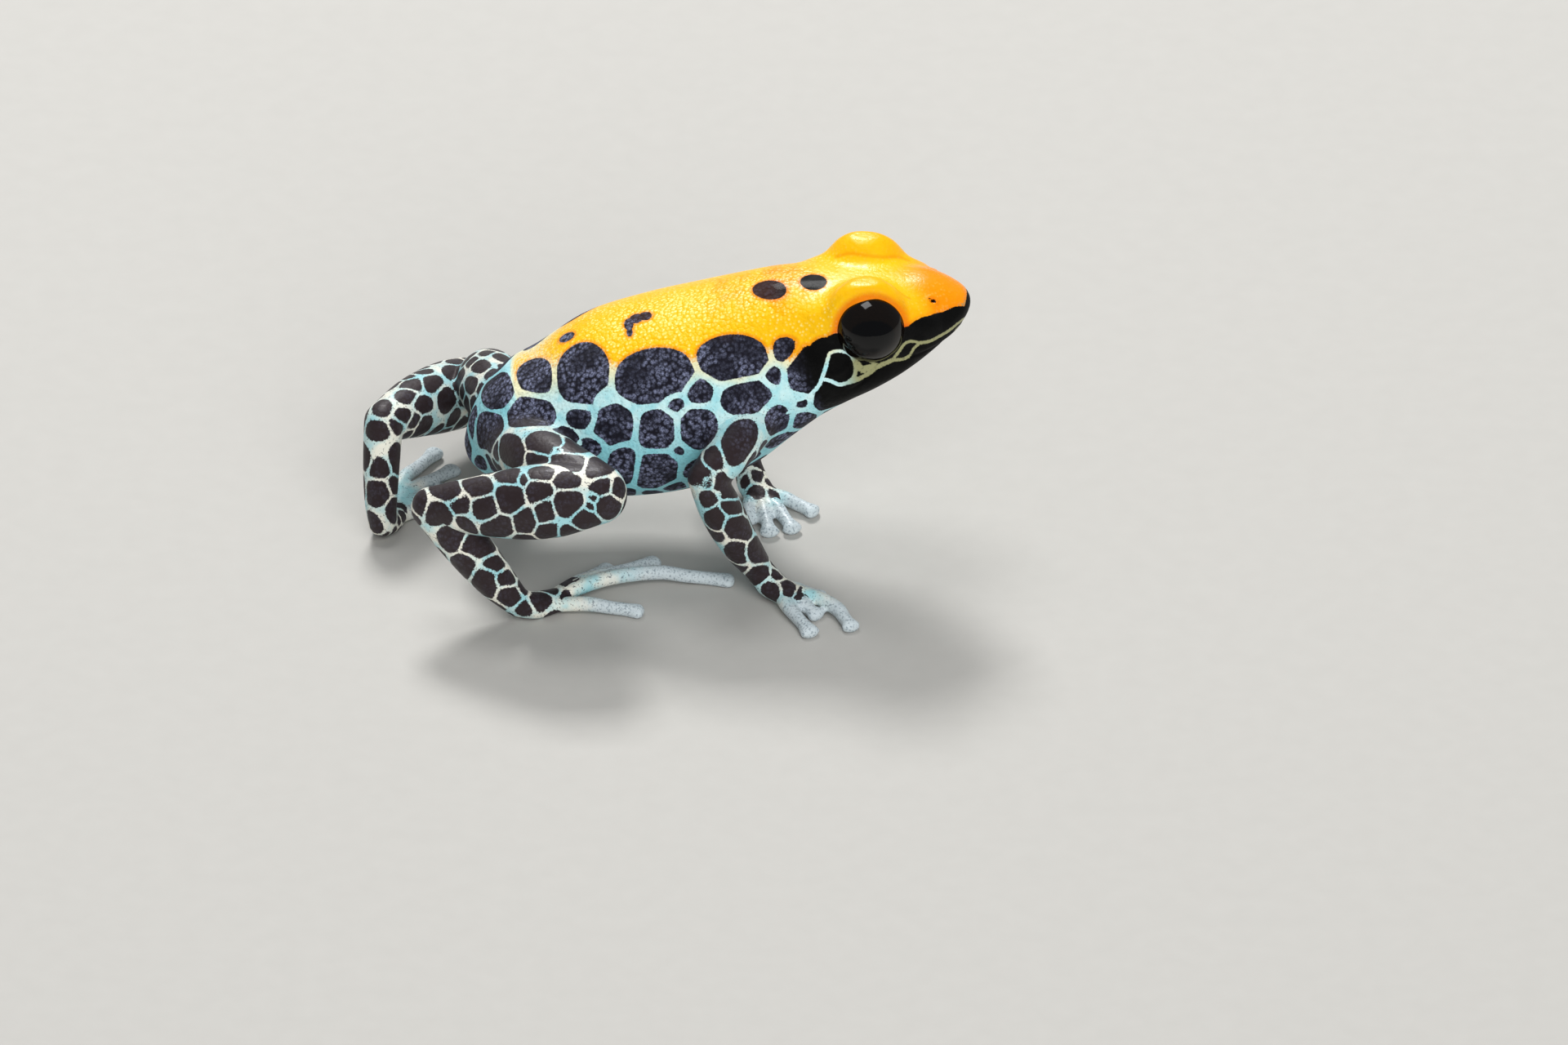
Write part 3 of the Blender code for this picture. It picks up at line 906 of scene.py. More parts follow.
HEAD_SPOTS = spots_of(
    (1067, 412, 84, 62), (1052, 432, 70, 60, 20), (1088, 432, 60, 46, 25),
    (1030, 436, 56, 54, 20), (1110, 420, 44, 34, 30), (1128, 410, 56, 32, 31),
    (1148, 402, 54, 31, 28), (1168, 392, 40, 26, 22), (1180, 388, 26, 22, 20),
    (1010, 434, 44, 38, 30), (988, 455, 52, 60, 12), (1040, 480, 96, 44, 22),
    (1080, 460, 90, 44, 28), (1118, 438, 66, 40, 30), (1150, 418, 50, 34, 33),
    patch="mask",
) + spots_of(
    (982, 493, 17, 15), (952, 516, 30, 38, -30), (1143, 369, 3.4, 2.6),
)
ARM_SPOTS = spots_of(
    (906, 540, 34, 54, -25), (870, 562, 28, 24, 30), (863, 586, 22, 21), (891, 595, 24, 32, 25),
    (869, 611, 18, 22), (898, 621, 25, 15), (875, 637, 19, 28), (907, 648, 29, 27, 10),
    (902, 679, 23, 27, 10), (931, 674, 21, 29, 15), (928, 706, 26, 24), (945, 725, 20, 18),
    (965, 720, 14, 20, 25), (981, 729, 13, 11),
)
THIGH_SPOTS = spots_of(
    (624, 551, 26, 36, 30), (670, 541, 54, 22), (657, 562, 28, 15, -15), (683, 549, 26, 11, -15),
    (693, 566, 38, 20), (720, 549, 34, 17, 20), (736, 569, 30, 20, 20), (588, 568, 16, 12),
)
SHANK_SPOTS = spots_of(
    (583, 594, 34, 22, -10), (546, 598, 38, 24, -20), (594, 621, 26, 28), (624, 610, 32, 35),
    (660, 602, 30, 28), (667, 627, 22, 30), (695, 617, 34, 30), (642, 640, 27, 27),
    (746, 622, 29, 27), (718, 639, 28, 20), (736, 596, 23, 22), (759, 599, 12, 22),
    (693, 589, 28, 17), (639, 587, 11, 11), (622, 581, 28, 15, -5), (662, 580, 28, 13),
    (560, 615, 24, 26, 30), (537, 630, 30, 26), (512, 615, 12, 30), (609, 648, 38, 20, 10),
    (670, 653, 26, 16), (698, 653, 26, 12), (728, 610, 7, 9), (723, 621, 9, 8),
)
TARSUS_SPOTS = spots_of(
    (553, 658, 28, 36), (589, 666, 42, 28, 15), (606, 691, 20, 16), (565, 694, 22, 28, 20),
    (620, 709, 18, 16), (593, 717, 26, 32, 20), (624, 731, 25, 20),
    (661, 735, 20, 20), (644, 746, 20, 14), (697, 712, 20, 10, -10),
)
FAR_SHANK_SPOTS = spots_of(
    (467, 497, 18, 14), (494, 510, 14, 14), (462, 527, 30, 18), (486, 522, 12, 14),
    (497, 484, 18, 12), (519, 497, 14, 20), (529, 469, 20, 14), (547, 490, 13, 26),
    (556, 455, 22, 12), (576, 472, 13, 16), (588, 448, 18, 10),
)
LIP_STROKES = (
    Stroke(
        0.13,
        ((1014, 438), (1011, 450), (1007, 462), (1002, 473), (990, 485), (974, 491), (962, 494)),
    ),
    Stroke(0.11, ((1014, 438), (1017, 432), (1027, 430), (1038, 433), (1045, 441), (1048, 451))),
    Stroke(0.13, ((1048, 451), (1046, 461), (1039, 468), (1028, 471), (1018, 467), (1007, 464))),
    Stroke(0.10, ((1046, 441), (1058, 440), (1066, 443), (1074, 447))),
    Stroke(0.20, ((1050, 446), (1056, 452), (1064, 450), (1072, 449))),
    Stroke(0.15, ((1040, 468), (1054, 463), (1064, 457), (1073, 450), (1086, 444), (1093, 441))),
    Stroke(0.10, ((1093, 441), (1101, 430), (1108, 421), (1116, 418), (1126, 420))),
    Stroke(0.10, ((1093, 441), (1105, 440), (1113, 436), (1119, 427), (1126, 420))),
    Stroke(0.12, ((1126, 420), (1138, 418), (1150, 412), (1162, 405), (1172, 397), (1182, 389))),
    Stroke(0.10, ((990, 485), (992, 493), (1000, 503), (1010, 508))),
    Stroke(0.10, ((974, 491), (972, 500), (964, 506))),
)
# The shallow crease of the orange skin between the eyes, pressed in and darkened with painted shade
FOLD_STROKES = (
    Stroke(0.05, ((1023, 315), (1040, 311), (1060, 313), (1082, 315), (1100, 315), (1113, 319))),
)
# Where the orange of the back ends on the side, rump to snout
ORANGE_EDGE = (
    (628, 462), (655, 444), (700, 440), (745, 446), (800, 456), (850, 440), (900, 452),
    (945, 428), (968, 442), (992, 432), (1014, 420), (1032, 406), (1104, 410), (1122, 404),
    (1140, 394), (1160, 384), (1180, 374),
)


@dataclass
class Mark:
    """A marking laid on the skin: its middle, normal and two half axes, in millimetres."""

    centre: np.ndarray
    normal: np.ndarray
    first: np.ndarray
    second: np.ndarray
    patch: int
    owner: int = 0

    def mirrored(self, patch: int) -> "Mark":
        """The same marking on the frog's other side.

        Args:
            patch: The number of its patch.

        Returns:
            The marking.
        """
        flip = np.array([1.0, -1.0, 1.0])
        rows = (self.centre, self.normal, self.first, self.second)
        return Mark(*(row * flip for row in rows), patch)

    @property
    def reach(self) -> float:
        """The marking's larger half size."""
        return max(np.linalg.norm(self.first), np.linalg.norm(self.second))

    @property
    def mean(self) -> float:
        """The marking's mean half size."""
        return math.sqrt(np.linalg.norm(np.cross(self.first, self.second)))


@dataclass
class Markings:
    """The black spots and the colour zones of the skin, with lengths in millimetres.

    Names that start with twin are for marks repeated on the far side, those with fill for
    the round ones of the hidden places, and those with midline for how twins keep clear of
    it. least_slant keeps a mark on skin that slants away from growing too long, joining is
    how near to a neighbour's skin a mark may run over, and core, wrap and least_size keep
    the net's distances even in a mark's middle and round a bend of the skin.
    """

    skin_points: np.ndarray
    skin_normals: np.ndarray
    faces: list[tuple[int, ...]]
    owner: np.ndarray
    slack: np.ndarray
    limb: np.ndarray
    view: PhotoView
    trunk: Trunk
    seed: int = 11
    softness: float = 0.05
    limb_sharpness: float = 0.2
    joining: float = 0.25
    least_slant: float = 0.5
    stroke_margin: float = 0.3
    stroke_steps: int = 12
    middle_half: float = 0.35
    midline: float = 1.2
    midline_shift: float = 0.45
    midline_shrink: float = 0.2
    twin_least: float = 0.1
    twin_jitter: float = 0.09
    twin_sizes: tuple[float, float] = (0.9, 1.06)
    twin_gap: float = 0.4
    fill_sizes: tuple[float, float] = (0.85, 1.25)
    fill_ratios: tuple[float, float] = (1.0, 1.3)
    fill_gap: float = 0.9
    fill_growth: float = 1.3
    fill_facing: float = -0.2
    net_reach: float = 0.9
    net_facing: float = -0.15
    core: float = 0.25
    wrap: float = 1.6
    least_size: float = 0.05
    rump_fade: tuple[float, float] = (0.1, -0.7)
    rump_drop: float = 4.0
    marks: list[Mark] = field(default_factory=list)
    patches: int = 0

    def __post_init__(self) -> None:
        """Makes the tree that places are looked up in."""
        self.tree = BVHTree.FromPolygons(self.skin_points.tolist(), self.faces)

    def hit(self, x: float, y: float) -> tuple[np.ndarray, np.ndarray, int] | None:
        """Finds the skin behind a pixel of the photograph.

        Args:
            x: Pixels from the left.
            y: Pixels from the top.

        Returns:
            The place, its normal and the piece of the body there, or None off the frog.
        """
        way = Vector(self.view.ray(x, y))
        place, normal, face, _ = self.tree.ray_cast(Vector(self.view.eye), way)
        if place is None:
            return None
        return np.array(place), np.array(normal), int(self.owner[self.faces[face][0]])

    def lay(self, spots: Iterable[Spot], grow: float) -> list[Mark]:
        """Lays spots of the photograph on the skin.

        Args:
            spots: What the photograph shows.
            grow: Added to each half size, to be taken back by the net's lines.

        Returns:
            The marks laid, also kept in marks.
        """
        laid = []
        names: dict[str, int] = {}
        right, up = np.array([1.0, 0.0, 0.0]), self.view.up
        for spot in spots:
            found = self.hit(spot.x, spot.y)
            if found is None:
                LOG.warning("spot at %s, %s misses the skin", spot.x, spot.y)
                continue
            place, normal, owner = found
            first = unit(right - normal * (right @ normal))
            second = np.cross(normal, first)
            seen = np.array([[first @ right, second @ right], [first @ up, second @ up]])
            u, s, v = np.linalg.svd(seen)
            back = v.T @ np.diag(1 / np.maximum(s, self.least_slant)) @ u.T
            tilt = math.radians(spot.tilt)
            half = spot.width / 2 / self.view.pixels_per_mm + grow
            tall = spot.height / 2 / self.view.pixels_per_mm + grow
            long_axis = back @ (half * np.array([math.cos(tilt), math.sin(tilt)]))
            short_axis = back @ (tall * np.array([-math.sin(tilt), math.cos(tilt)]))
            basis = np.stack([first, second])
            fresh = self.next_patch()
            number = names.setdefault(spot.patch, fresh) if spot.patch else fresh
            mark = Mark(place, normal, long_axis @ basis, short_axis @ basis, number, owner)
            self.marks.append(mark)
            laid.append(mark)
        return laid

    def inside(self, strokes: Iterable[Stroke]) -> np.ndarray:
        """Lays fine lines of the photograph on the skin, on both sides.

        Args:
            strokes: What the photograph shows.

        Returns:
            How far inside a line each skin point lies, in millimetres, below zero outside.
        """
        depth = np.full(len(self.skin_points), -FAR)
        for stroke in strokes:
            count = self.stroke_steps * len(stroke.points)
            found = [self.hit(x, y) for x, y in spline(stroke.points, count)]
            seen = np.array([f[0] for f in found if f is not None])
            for line in (seen, seen * np.array([1.0, -1.0, 1.0])):
                low, high = line.min(0) - self.stroke_margin, line.max(0) + self.stroke_margin
                within = (self.skin_points > low) & (self.skin_points < high)
                near = np.nonzero(within.all(axis=1))[0]
                gaps, _ = nearest_on_line(self.skin_points[near], line, np.zeros(3))
                depth[near] = np.maximum(depth[near], stroke.width / 2 - gaps)
        return depth

    def next_patch(self) -> int:
        """A number that no mark has yet."""
        self.patches += 1
        return self.patches

    def mirror(self, marks: Iterable[Mark], rng: np.random.Generator) -> None:
        """Repeats marks on the far side, a little unlike.

        Args:
            marks: The near side's marks.
            rng: Seeded random numbers.
        """
        for mark in marks:
            alone = mark.mean > self.twin_least and sum(m.patch == mark.patch for m in marks) == 1
            if abs(mark.centre[1]) < self.middle_half or mark.owner:
                continue
            twin = mark.mirrored(self.next_patch() if alone else mark.patch)
            if alone:
                twin.centre = twin.centre + rng.normal(0, self.twin_jitter, 3)
                twin.first = twin.first * rng.uniform(*self.twin_sizes)
                twin.second = twin.second * rng.uniform(*self.twin_sizes)
                # The nearer a mark is to the midline, the more its twin keeps clear of it
                share = float(np.clip(2.0 - abs(mark.centre[1]) / self.midline, 0, 1))
                twin.centre = twin.centre + np.array([0.0, self.midline_shift * share, 0.0])
                twin.first = twin.first * (1 - self.midline_shrink * share)
                twin.second = twin.second * (1 - self.midline_shrink * share)
            place, normal, face, gap = self.tree.find_nearest(Vector(twin.centre))
            twin.owner = int(self.owner[self.faces[face][0]])
            if gap < self.twin_gap and twin.owner == 0:
                twin.centre, twin.normal = np.array(place), np.array(normal)
                self.marks.append(twin)

    def fill(self, radius: np.ndarray, rng: np.random.Generator, tries: int = 26000) -> None:
        """Fills what is bare of marks with round ones, set close.

        Args:
            radius: Each skin point's mark radius, 0 where none grow.
            rng: Seeded random numbers.
            tries: How many places to try.
        """
        able = np.nonzero(radius > 0)[0]
        picks = rng.choice(able, min(tries, len(able)), replace=False)
        laid = len(self.marks)
        places = np.zeros((laid + len(picks), 3))
        ways = np.zeros((laid + len(picks), 3))
        reaches = np.zeros(laid + len(picks))
        for k, mark in enumerate(self.marks):
            places[k], ways[k], reaches[k] = mark.centre, mark.normal, mark.mean
        count = laid
        for pick in picks:
            point, normal = self.skin_points[pick], self.skin_normals[pick]
            half = radius[pick] * rng.uniform(*self.fill_sizes)
            off = np.linalg.norm(places[:count] - point, axis=1)
            beside = ways[:count] @ normal > self.fill_facing
            if np.any(beside & (off < (reaches[:count] + half) * self.fill_gap)):
                continue
            first = unit(np.cross(normal, rng.normal(0, 1, 3)))
            second = np.cross(normal, first)
            ratio = rng.uniform(*self.fill_ratios)
            grown = half * self.fill_growth
            owner = int(self.owner[pick])
            axes = (first * grown * ratio, second * grown / ratio)
            self.marks.append(Mark(point, normal, *axes, self.next_patch(), owner))
            places[count], ways[count], reaches[count] = point, normal, half
            count += 1
        LOG.info("%d marks, %d of them placed and the others filled in", count, laid)

    def net(self, width: np.ndarray) -> np.ndarray:
        """The net's field: below zero in a black spot, above zero on the net.

        Args:
            width: The net's line width at each skin point.

        Returns:
            Distances in millimetres, one a skin point.
        """
        count = len(self.skin_points)
        best = np.full(count, FAR)
        next_best = np.full(count, FAR)
        owner = np.zeros(count, int)
        for mark in self.marks:
            off_all = self.skin_points - mark.centre
            reach = mark.reach + self.net_reach
            near = np.nonzero((np.abs(off_all) < reach).all(axis=1))[0]
            near = near[self.skin_normals[near] @ mark.normal > self.net_facing]
            near = near[(self.owner[near] == mark.owner) | (self.slack[near] < self.joining)]
            off = off_all[near]
            flat = off - np.outer(off @ mark.normal, mark.normal)
            full = np.linalg.norm(off, axis=1)
            # What the skin bends away from the mark's own plane still counts as distance
            stretch = full / np.maximum(np.linalg.norm(flat, axis=1), 1e-6)
            flat *= stretch[:, None].clip(1, self.wrap)
            axes = np.stack([mark.first, mark.second])
            share = np.linalg.solve(axes @ axes.T, axes @ flat.T)
            ratio = np.hypot(share[0], share[1])
            local = np.where(ratio > self.core, full / np.maximum(ratio, self.core), mark.mean)
            value = (ratio - 1) * np.clip(local, self.least_size, mark.reach)
            same = owner[near] == mark.patch
            better = value < best[near]
            old = best[near].copy()
            rival = np.where(better, old, np.minimum(next_best[near], value))
            next_best[near] = np.where(same, next_best[near], rival)
            best[near] = np.where(better, value, old)
            owner[near] = np.where(better, mark.patch, owner[near])
        between = (width - (next_best - best)) / 2
        top = np.maximum(best, between)
        low = np.minimum(best, between)
        soft = self.softness * (1 - self.limb_sharpness * self.limb)
        return top + soft * np.log1p(np.exp(np.clip((low - top) / soft, -30, 0)))

    def back_height(self) -> np.ndarray:
        """How far each skin point lies over the lower edge of the back's orange.

        Returns:
            Distances in millimetres, one a skin point.
        """
        edges = []
        for x, y in ORANGE_EDGE:
            found = self.hit(x, y)
            if found is not None:
                along, _, up = self.trunk.read(found[0][None])
                edges.append((along[0], up[0]))
        edges.sort()
        table = np.array(edges)
        along, _, up = self.trunk.read(self.skin_points)
        edge = np.interp(along, table[:, 0], table[:, 1])
        start, end = (table[0, 0] + step for step in self.rump_fade)
        return up - edge - smooth_step(start, end, along) * self.rump_drop


# What the skin's points carry for its finish, in millimetres or as shares of 1
SKIN_FIELDS = ("spots", "back", "along", "limb", "pale", "lip", "fold", "lid", "grain")
BLEND = {"data_type": "RGBA"}
PLUS = {"operation": "ADD"}
LESS = {"operation": "SUBTRACT"}
TIMES = {"operation": "MULTIPLY"}


class Bend(Enum):
    """How a ramp rises."""

    SMOOTH = "SMOOTHSTEP"
    STRAIGHT = "LINEAR"


@dataclass(frozen=True)
class Ramp:
    """A share that follows a field or noise of the skin, from low at start to high at end."""

    of: str
    start: float = 0.0
    end: float = 1.0
    low: float = 0.0
    high: float = 1.0
    bend: Bend = Bend.SMOOTH


class NodeKit:
    """One material, the nodes added to it, and what they read by name."""

    def __init__(self, name: str) -> None:
        """Starts the material with a plain shader.

        Args:
            name: The material's name.
        """
        self.material = bpy.data.materials.new(name)
        self.material.use_nodes = True
        self.tree = self.material.node_tree
        self.shader = self.tree.nodes["Principled BSDF"]
        self.place = self.add("ShaderNodeTexCoord").outputs["Object"]
        self.reads: dict[str, bpy.types.ShaderNode | bpy.types.NodeSocket] = {}

    def add(self, kind: str, settings: dict | None = None, **links: object) -> bpy.types.ShaderNode:
        """Adds a node with its settings and what goes into it.

        Args:
            kind: The node's type.
            settings: Values of the node's own properties.
            links: Its inputs, as feed takes them.

        Returns:
            The node.
        """
        node = self.tree.nodes.new(kind)
        for key, value in (settings or {}).items():
            setattr(node, key, value)
        self.feed(node, **links)
        return node

    def feed(self, node: bpy.types.ShaderNode, **links: object) -> None:
        """Sets or links a node's inputs.

        Args:
            node: The node.
            links: Input names, with _ for a space, or in0, in1 for their order, each with a
                number, an sRGB hex colour, an output, or a node whose first output feeds it.
        """
        for key, value in links.items():
            name = int(key[2:]) if key[:2] == "in" else key.replace("_", " ")
            if isinstance(value, bpy.types.Node):
                value = next(out for out in value.outputs if out.enabled)
            if isinstance(value, bpy.types.NodeSocket):
                self.tree.links.new(value, node.inputs[name])
            else:
                node.inputs[name].default_value = linear(value) if isinstance(value, str) else value

    def share(self, *parts: object) -> object:
        """Multiplies parts into one share.

        Args:
            parts: Ramps, names of fields or noises, nodes and numbers.

        Returns:
            What gives the product.
        """
        product = None
        for part in parts:
            if isinstance(part, Ramp):
                part = self.add(
                    "ShaderNodeMapRange",
                    {"interpolation_type": part.bend.value},
                    Value=self.reads[part.of],
                    From_Min=part.start,
                    From_Max=part.end,
                    To_Min=part.low,
                    To_Max=part.high,
                )
            elif isinstance(part, str):
                part = self.reads[part]
            if product is None:
                product = part
            else:
                product = self.add("ShaderNodeMath", TIMES, in0=product, in1=part)
        return product

    def paint(self, colour: object, *layers: tuple) -> object:
        """Lays colours over one another.

        Args:
            colour: What lies undermost, a hex colour or a node.
            layers: Colours in their order, each with the parts of its share.

        Returns:
            What gives the finished colour.
        """
        for over, *parts in layers:
            share = self.share(*parts)
            colour = self.add("ShaderNodeMix", BLEND, in0=share, in6=colour, in7=over)
        return colour


@dataclass(frozen=True)
class MoistFrogSkin:
    """Amphibian skin: granular over the back, wet all over.

    Mucus from its glands gives the eye a clear film with small hard glints, over pigment
    that lies in the skin itself, so the colour stays deep under the shine. The finest
    granules are drawn coarser than the real ones, so that they show.
    """

    mask_black: str = "#020202"
    black: str = "#191822"
    black_warm: str = "#2E2425"
    black_brown: str = "#33160D"
    # Painted sheen: pale slaty grey laid on the tops of the black granules
    black_grain: str = "#868CAA"
    deep_orange: str = "#EC5400"
    orange: str = "#FF8E00"
    amber: str = "#FFA600"
    gold: str = "#FFC40C"
    # Painted glints on the granules of the back
    bright_yellow: str = "#FFEE88"
    pale_yellow: str = "#EFEBC0"
    # Painted shade on the net low on the flanks
    deep_turquoise: str = "#78C6D2"
    turquoise: str = "#A6E2E9"
    pale_turquoise: str = "#D3F4F4"
    cream: str = "#F0ECDD"
    olive: str = "#96966C"
    toe: str = "#C9D4D8"
    toe_shade: str = "#6F7F8A"
    granule_mm: float = 0.13
    fine_mm: float = 0.045
    speckle_mm: float = 0.07
    cloud_mm: float = 0.5
    patch_mm: float = 0.9
    relief_mm: float = 0.03
    relief_strength: float = 0.9
    fine_relief: float = 0.22
    ior: float = 1.34
    film: float = 0.06
    film_roughness: float = 0.12
    film_ior: float = 1.33

    def build(self) -> bpy.types.Material:
        """The material, which reads the skin's own fields.

        Returns:
            The finished material.
        """
        kit = NodeKit("moist_frog_skin")
        reads = kit.reads
        for name in SKIN_FIELDS:
            reads[name] = kit.add("ShaderNodeAttribute", {"attribute_name": name}).outputs["Fac"]
        noises = (
            ("fine", self.fine_mm, 3.0),
            ("cloud", self.cloud_mm, 3.0),
            ("patch", self.patch_mm, 3.0),
            ("speckle", self.speckle_mm, 2.0),
        )
        for name, size, detail in noises:
            size_and_detail = {"Scale": 1 / (size * MM), "Detail": detail}
            reads[name] = kit.add("ShaderNodeTexNoise", Vector=kit.place, **size_and_detail)
        scale = 1 / (self.granule_mm * MM)
        reads["cells"] = kit.add("ShaderNodeTexVoronoi", Vector=kit.place, Scale=scale)

        # The spots' edges run along the granules, so they are ragged close by
        even = kit.add("ShaderNodeMath", LESS, in0=reads["fine"], in1=0.5)
        wobble = kit.share(even, Ramp("limb", low=0.08, high=0.14, bend=Bend.STRAIGHT))
        reads["edge"] = kit.add("ShaderNodeMath", PLUS, in0=reads["spots"], in1=wobble)
        blurred = kit.share(Ramp("speckle", low=-0.22, high=0.22, bend=Bend.STRAIGHT))
        reads["border"] = kit.add("ShaderNodeMath", PLUS, in0=reads["back"], in1=blurred)
        light = kit.paint(
            self.net(kit), (self.back(kit), Ramp("border", -0.12, 0.14)), (self.toes(kit), "pale")
        )
        colour = kit.paint(self.spots(kit), (light, Ramp("edge", -0.012, 0.014)))
        kit.feed(kit.shader, Base_Color=colour, Normal=self.relief(kit))
        kit.feed(kit.shader, Roughness=self.wetness(kit), IOR=self.ior, Coat_Weight=self.film)
        kit.feed(kit.shader, Coat_Roughness=self.film_roughness, Coat_IOR=self.film_ior)
        return kit.material

    def relief(self, kit: NodeKit) -> bpy.types.ShaderNode:
        """Raises the granules, and the black spots a little over the net.

        Args:
            kit: The material's nodes.

        Returns:
            The node that bends the light.
        """
        hollow = kit.share("cells", "cells", "grain")
        soft = kit.share("fine", self.fine_relief)
        grain = kit.add("ShaderNodeMath", LESS, in0=soft, in1=hollow)
        step = kit.share(Ramp("edge", -0.05, 0.05, low=0.35, high=0.0))
        height = kit.add("ShaderNodeMath", PLUS, in0=grain, in1=step)
        sizes = {"Strength": self.relief_strength, "Distance": self.relief_mm * MM}
        return kit.add("ShaderNodeBump", Height=height, **sizes)

    def wetness(self, kit: NodeKit) -> bpy.types.ShaderNode:
        """The roughness: black skin has more granules and is the less smooth, on the body most.

        Args:
            kit: The material's nodes.

        Returns:
            The node that gives it.
        """
        damp = kit.share(Ramp("cloud", 0.3, 0.7, 0.3, 0.42))
        sleek = kit.share(Ramp("grain", 0.3, 1.0, -0.05, 0.0, Bend.STRAIGHT))
        damp = kit.add("ShaderNodeMath", PLUS, in0=damp, in1=sleek)
        on_body = Ramp("limb", low=1.0, high=0.45, bend=Bend.STRAIGHT)
        dull = kit.share(Ramp("edge", -0.03, 0.02, low=0.45, high=0.0), on_body)
        return kit.add("ShaderNodeMath", PLUS, in0=damp, in1=dull)

    def back(self, kit: NodeKit) -> bpy.types.ShaderNode:
        """The orange of head and back, with painted light and shade.

        Gold low on the sides and over the lids is painted light, and the bright yellow granule tops
        are painted glints; the deeper orange up the crest, in the crease between the eyes and round
        the lids' rims is painted shade.

        Args:
            kit: The material's nodes.

        Returns:
            The node that gives the colour.
        """
        # Painted glints: bright yellow on the granules' tops, in patches, most low on the back and
        # least on the head
        granules = (
            Ramp("cells", 0.44, 0.12),
            Ramp("patch", 0.4, 0.6, low=0.3),
            Ramp("along", 13.8, 12.0, low=0.12),
            Ramp("back", 1.9, 1.1, low=0.12),
        )
        behind = Ramp("along", 15.9, 15.3, low=0.3, bend=Bend.STRAIGHT)
        return kit.paint(
            self.amber,
            (self.gold, Ramp("cloud", 0.35, 0.7)),
            # Painted light and shade: gold low on the sides, where the glare falls, and a deeper
            # orange up along the crest
            (self.gold, Ramp("back", 1.8, 0.8)),
            (self.orange, Ramp("back", 1.2, 2.3, high=0.9)),
            (self.orange, Ramp("along", 14.7, 16.2, high=0.9)),
            # Painted light: the raised lids are golder, as if bright in the light
            (self.gold, "lid", 0.6),
            (self.bright_yellow, *granules),
            (self.deep_orange, Ramp("spots", 0.16, 0.02, high=0.5), behind),
            # Painted shade: deeper orange in the crease between the eyes and round the lids' rims
            (self.deep_orange, "fold", 0.3),
        )

    def net(self, kit: NodeKit) -> bpy.types.ShaderNode:
        """The pale net: turquoise on the body, deeper turquoise low on the flanks as painted shade,
        creamy on the limbs, olive along the lip.

        Args:
            kit: The material's nodes.

        Returns:
            The node that gives the colour.
        """
        on_limb = Ramp("limb", low=0.3, high=0.75, bend=Bend.STRAIGHT)
        return kit.paint(
            self.turquoise,
            (self.pale_turquoise, Ramp("cloud", 0.3, 0.7)),
            # Painted shade: the net turns deeper turquoise low on the flank
            (self.deep_turquoise, Ramp("back", -1.2, -3.0, high=0.75)),
            (self.pale_yellow, Ramp("back", -0.75, -0.1)),
            (self.cream, "limb", Ramp("patch", 0.35, 0.62, 0.15, 0.95)),
            (self.olive, "lip"),
            (self.black, Ramp("speckle", 0.6, 0.68), on_limb),
        )

    def toes(self, kit: NodeKit) -> bpy.types.ShaderNode:
        """The pale fingers and toes, faintly clouded."""
        return kit.paint(self.toe, (self.toe_shade, Ramp("speckle", 0.5, 0.68, high=0.7)))

    def spots(self, kit: NodeKit) -> bpy.types.ShaderNode:
        """The black: granular, with a painted sheen of slaty grey on its granules' tops that shows
        most on the flanks; brown on limbs and back, deep on the face.

        Args:
            kit: The material's nodes.

        Returns:
            The node that gives the colour.
        """
        crumbs = Ramp("fine", 0.36, 0.6, low=0.2)
        clump = Ramp("patch", 0.4, 0.6, low=0.15)
        return kit.paint(
            self.black,
            # Painted sheen on the granules' tops, in clumps, mostly covered by the brown, warm and
            # face blacks
            (self.black_grain, Ramp("cells", 0.8, 0.12), crumbs, clump),
            (self.black_brown, Ramp("back", 0.6, 1.2, high=0.9)),
            (self.mask_black, Ramp("along", 11.2, 12.0)),
            (self.black_warm, "limb", 0.9),
        )


@dataclass(frozen=True)
class WetCornea:
    """Living eye: a clear, wet cornea over an iris as dark as its pupil.

    Tear film over the smooth ball gives one small, sharp glint, and the dark bronze ring
    of the iris only shows close by.
    """

    pupil: str = "#020203"
    iris: str = "#060403"
    bronze: str = "#120B07"
    fleck_mm: float = 0.06
    roughness: float = 0.07
    ior: float = 1.376

    def build(self) -> bpy.types.Material:
        """The material, which reads the eye's own field.

        Returns:
            The finished material.
        """
        kit = NodeKit("wet_cornea")
        ring = kit.add("ShaderNodeAttribute", {"attribute_name": "iris"}).outputs["Fac"]
        scale = 1 / (self.fleck_mm * MM)
        fleck = kit.add("ShaderNodeTexNoise", Vector=kit.place, Scale=scale, Detail=3.0)
        iris = kit.paint(self.iris, (self.bronze, fleck))
        colour = kit.paint(self.pupil, (iris, ring))
        kit.feed(kit.shader, Base_Color=colour, Roughness=self.roughness, IOR=self.ior)
        return kit.material


@dataclass(frozen=True)
class MattePaper:
    """Seamless studio paper: calendered, unglazed, so it takes soft shadows and no glint."""

    shade: str = "#BAB8B3"
    lighter: str = "#BFBDB8"
    grain_mm: float = 0.8
    roughness: float = 0.85

    def build(self) -> bpy.types.Material:
        """The finished material.

        Returns:
            The material.
        """
        kit = NodeKit("studio_paper")
        scale = 1 / (self.grain_mm * MM)
        grain = kit.add("ShaderNodeTexNoise", Vector=kit.place, Scale=scale, Detail=2.0)
        tone = kit.paint(self.shade, (self.lighter, grain))
        kit.feed(kit.shader, Base_Color=tone, Roughness=self.roughness)
        return kit.material


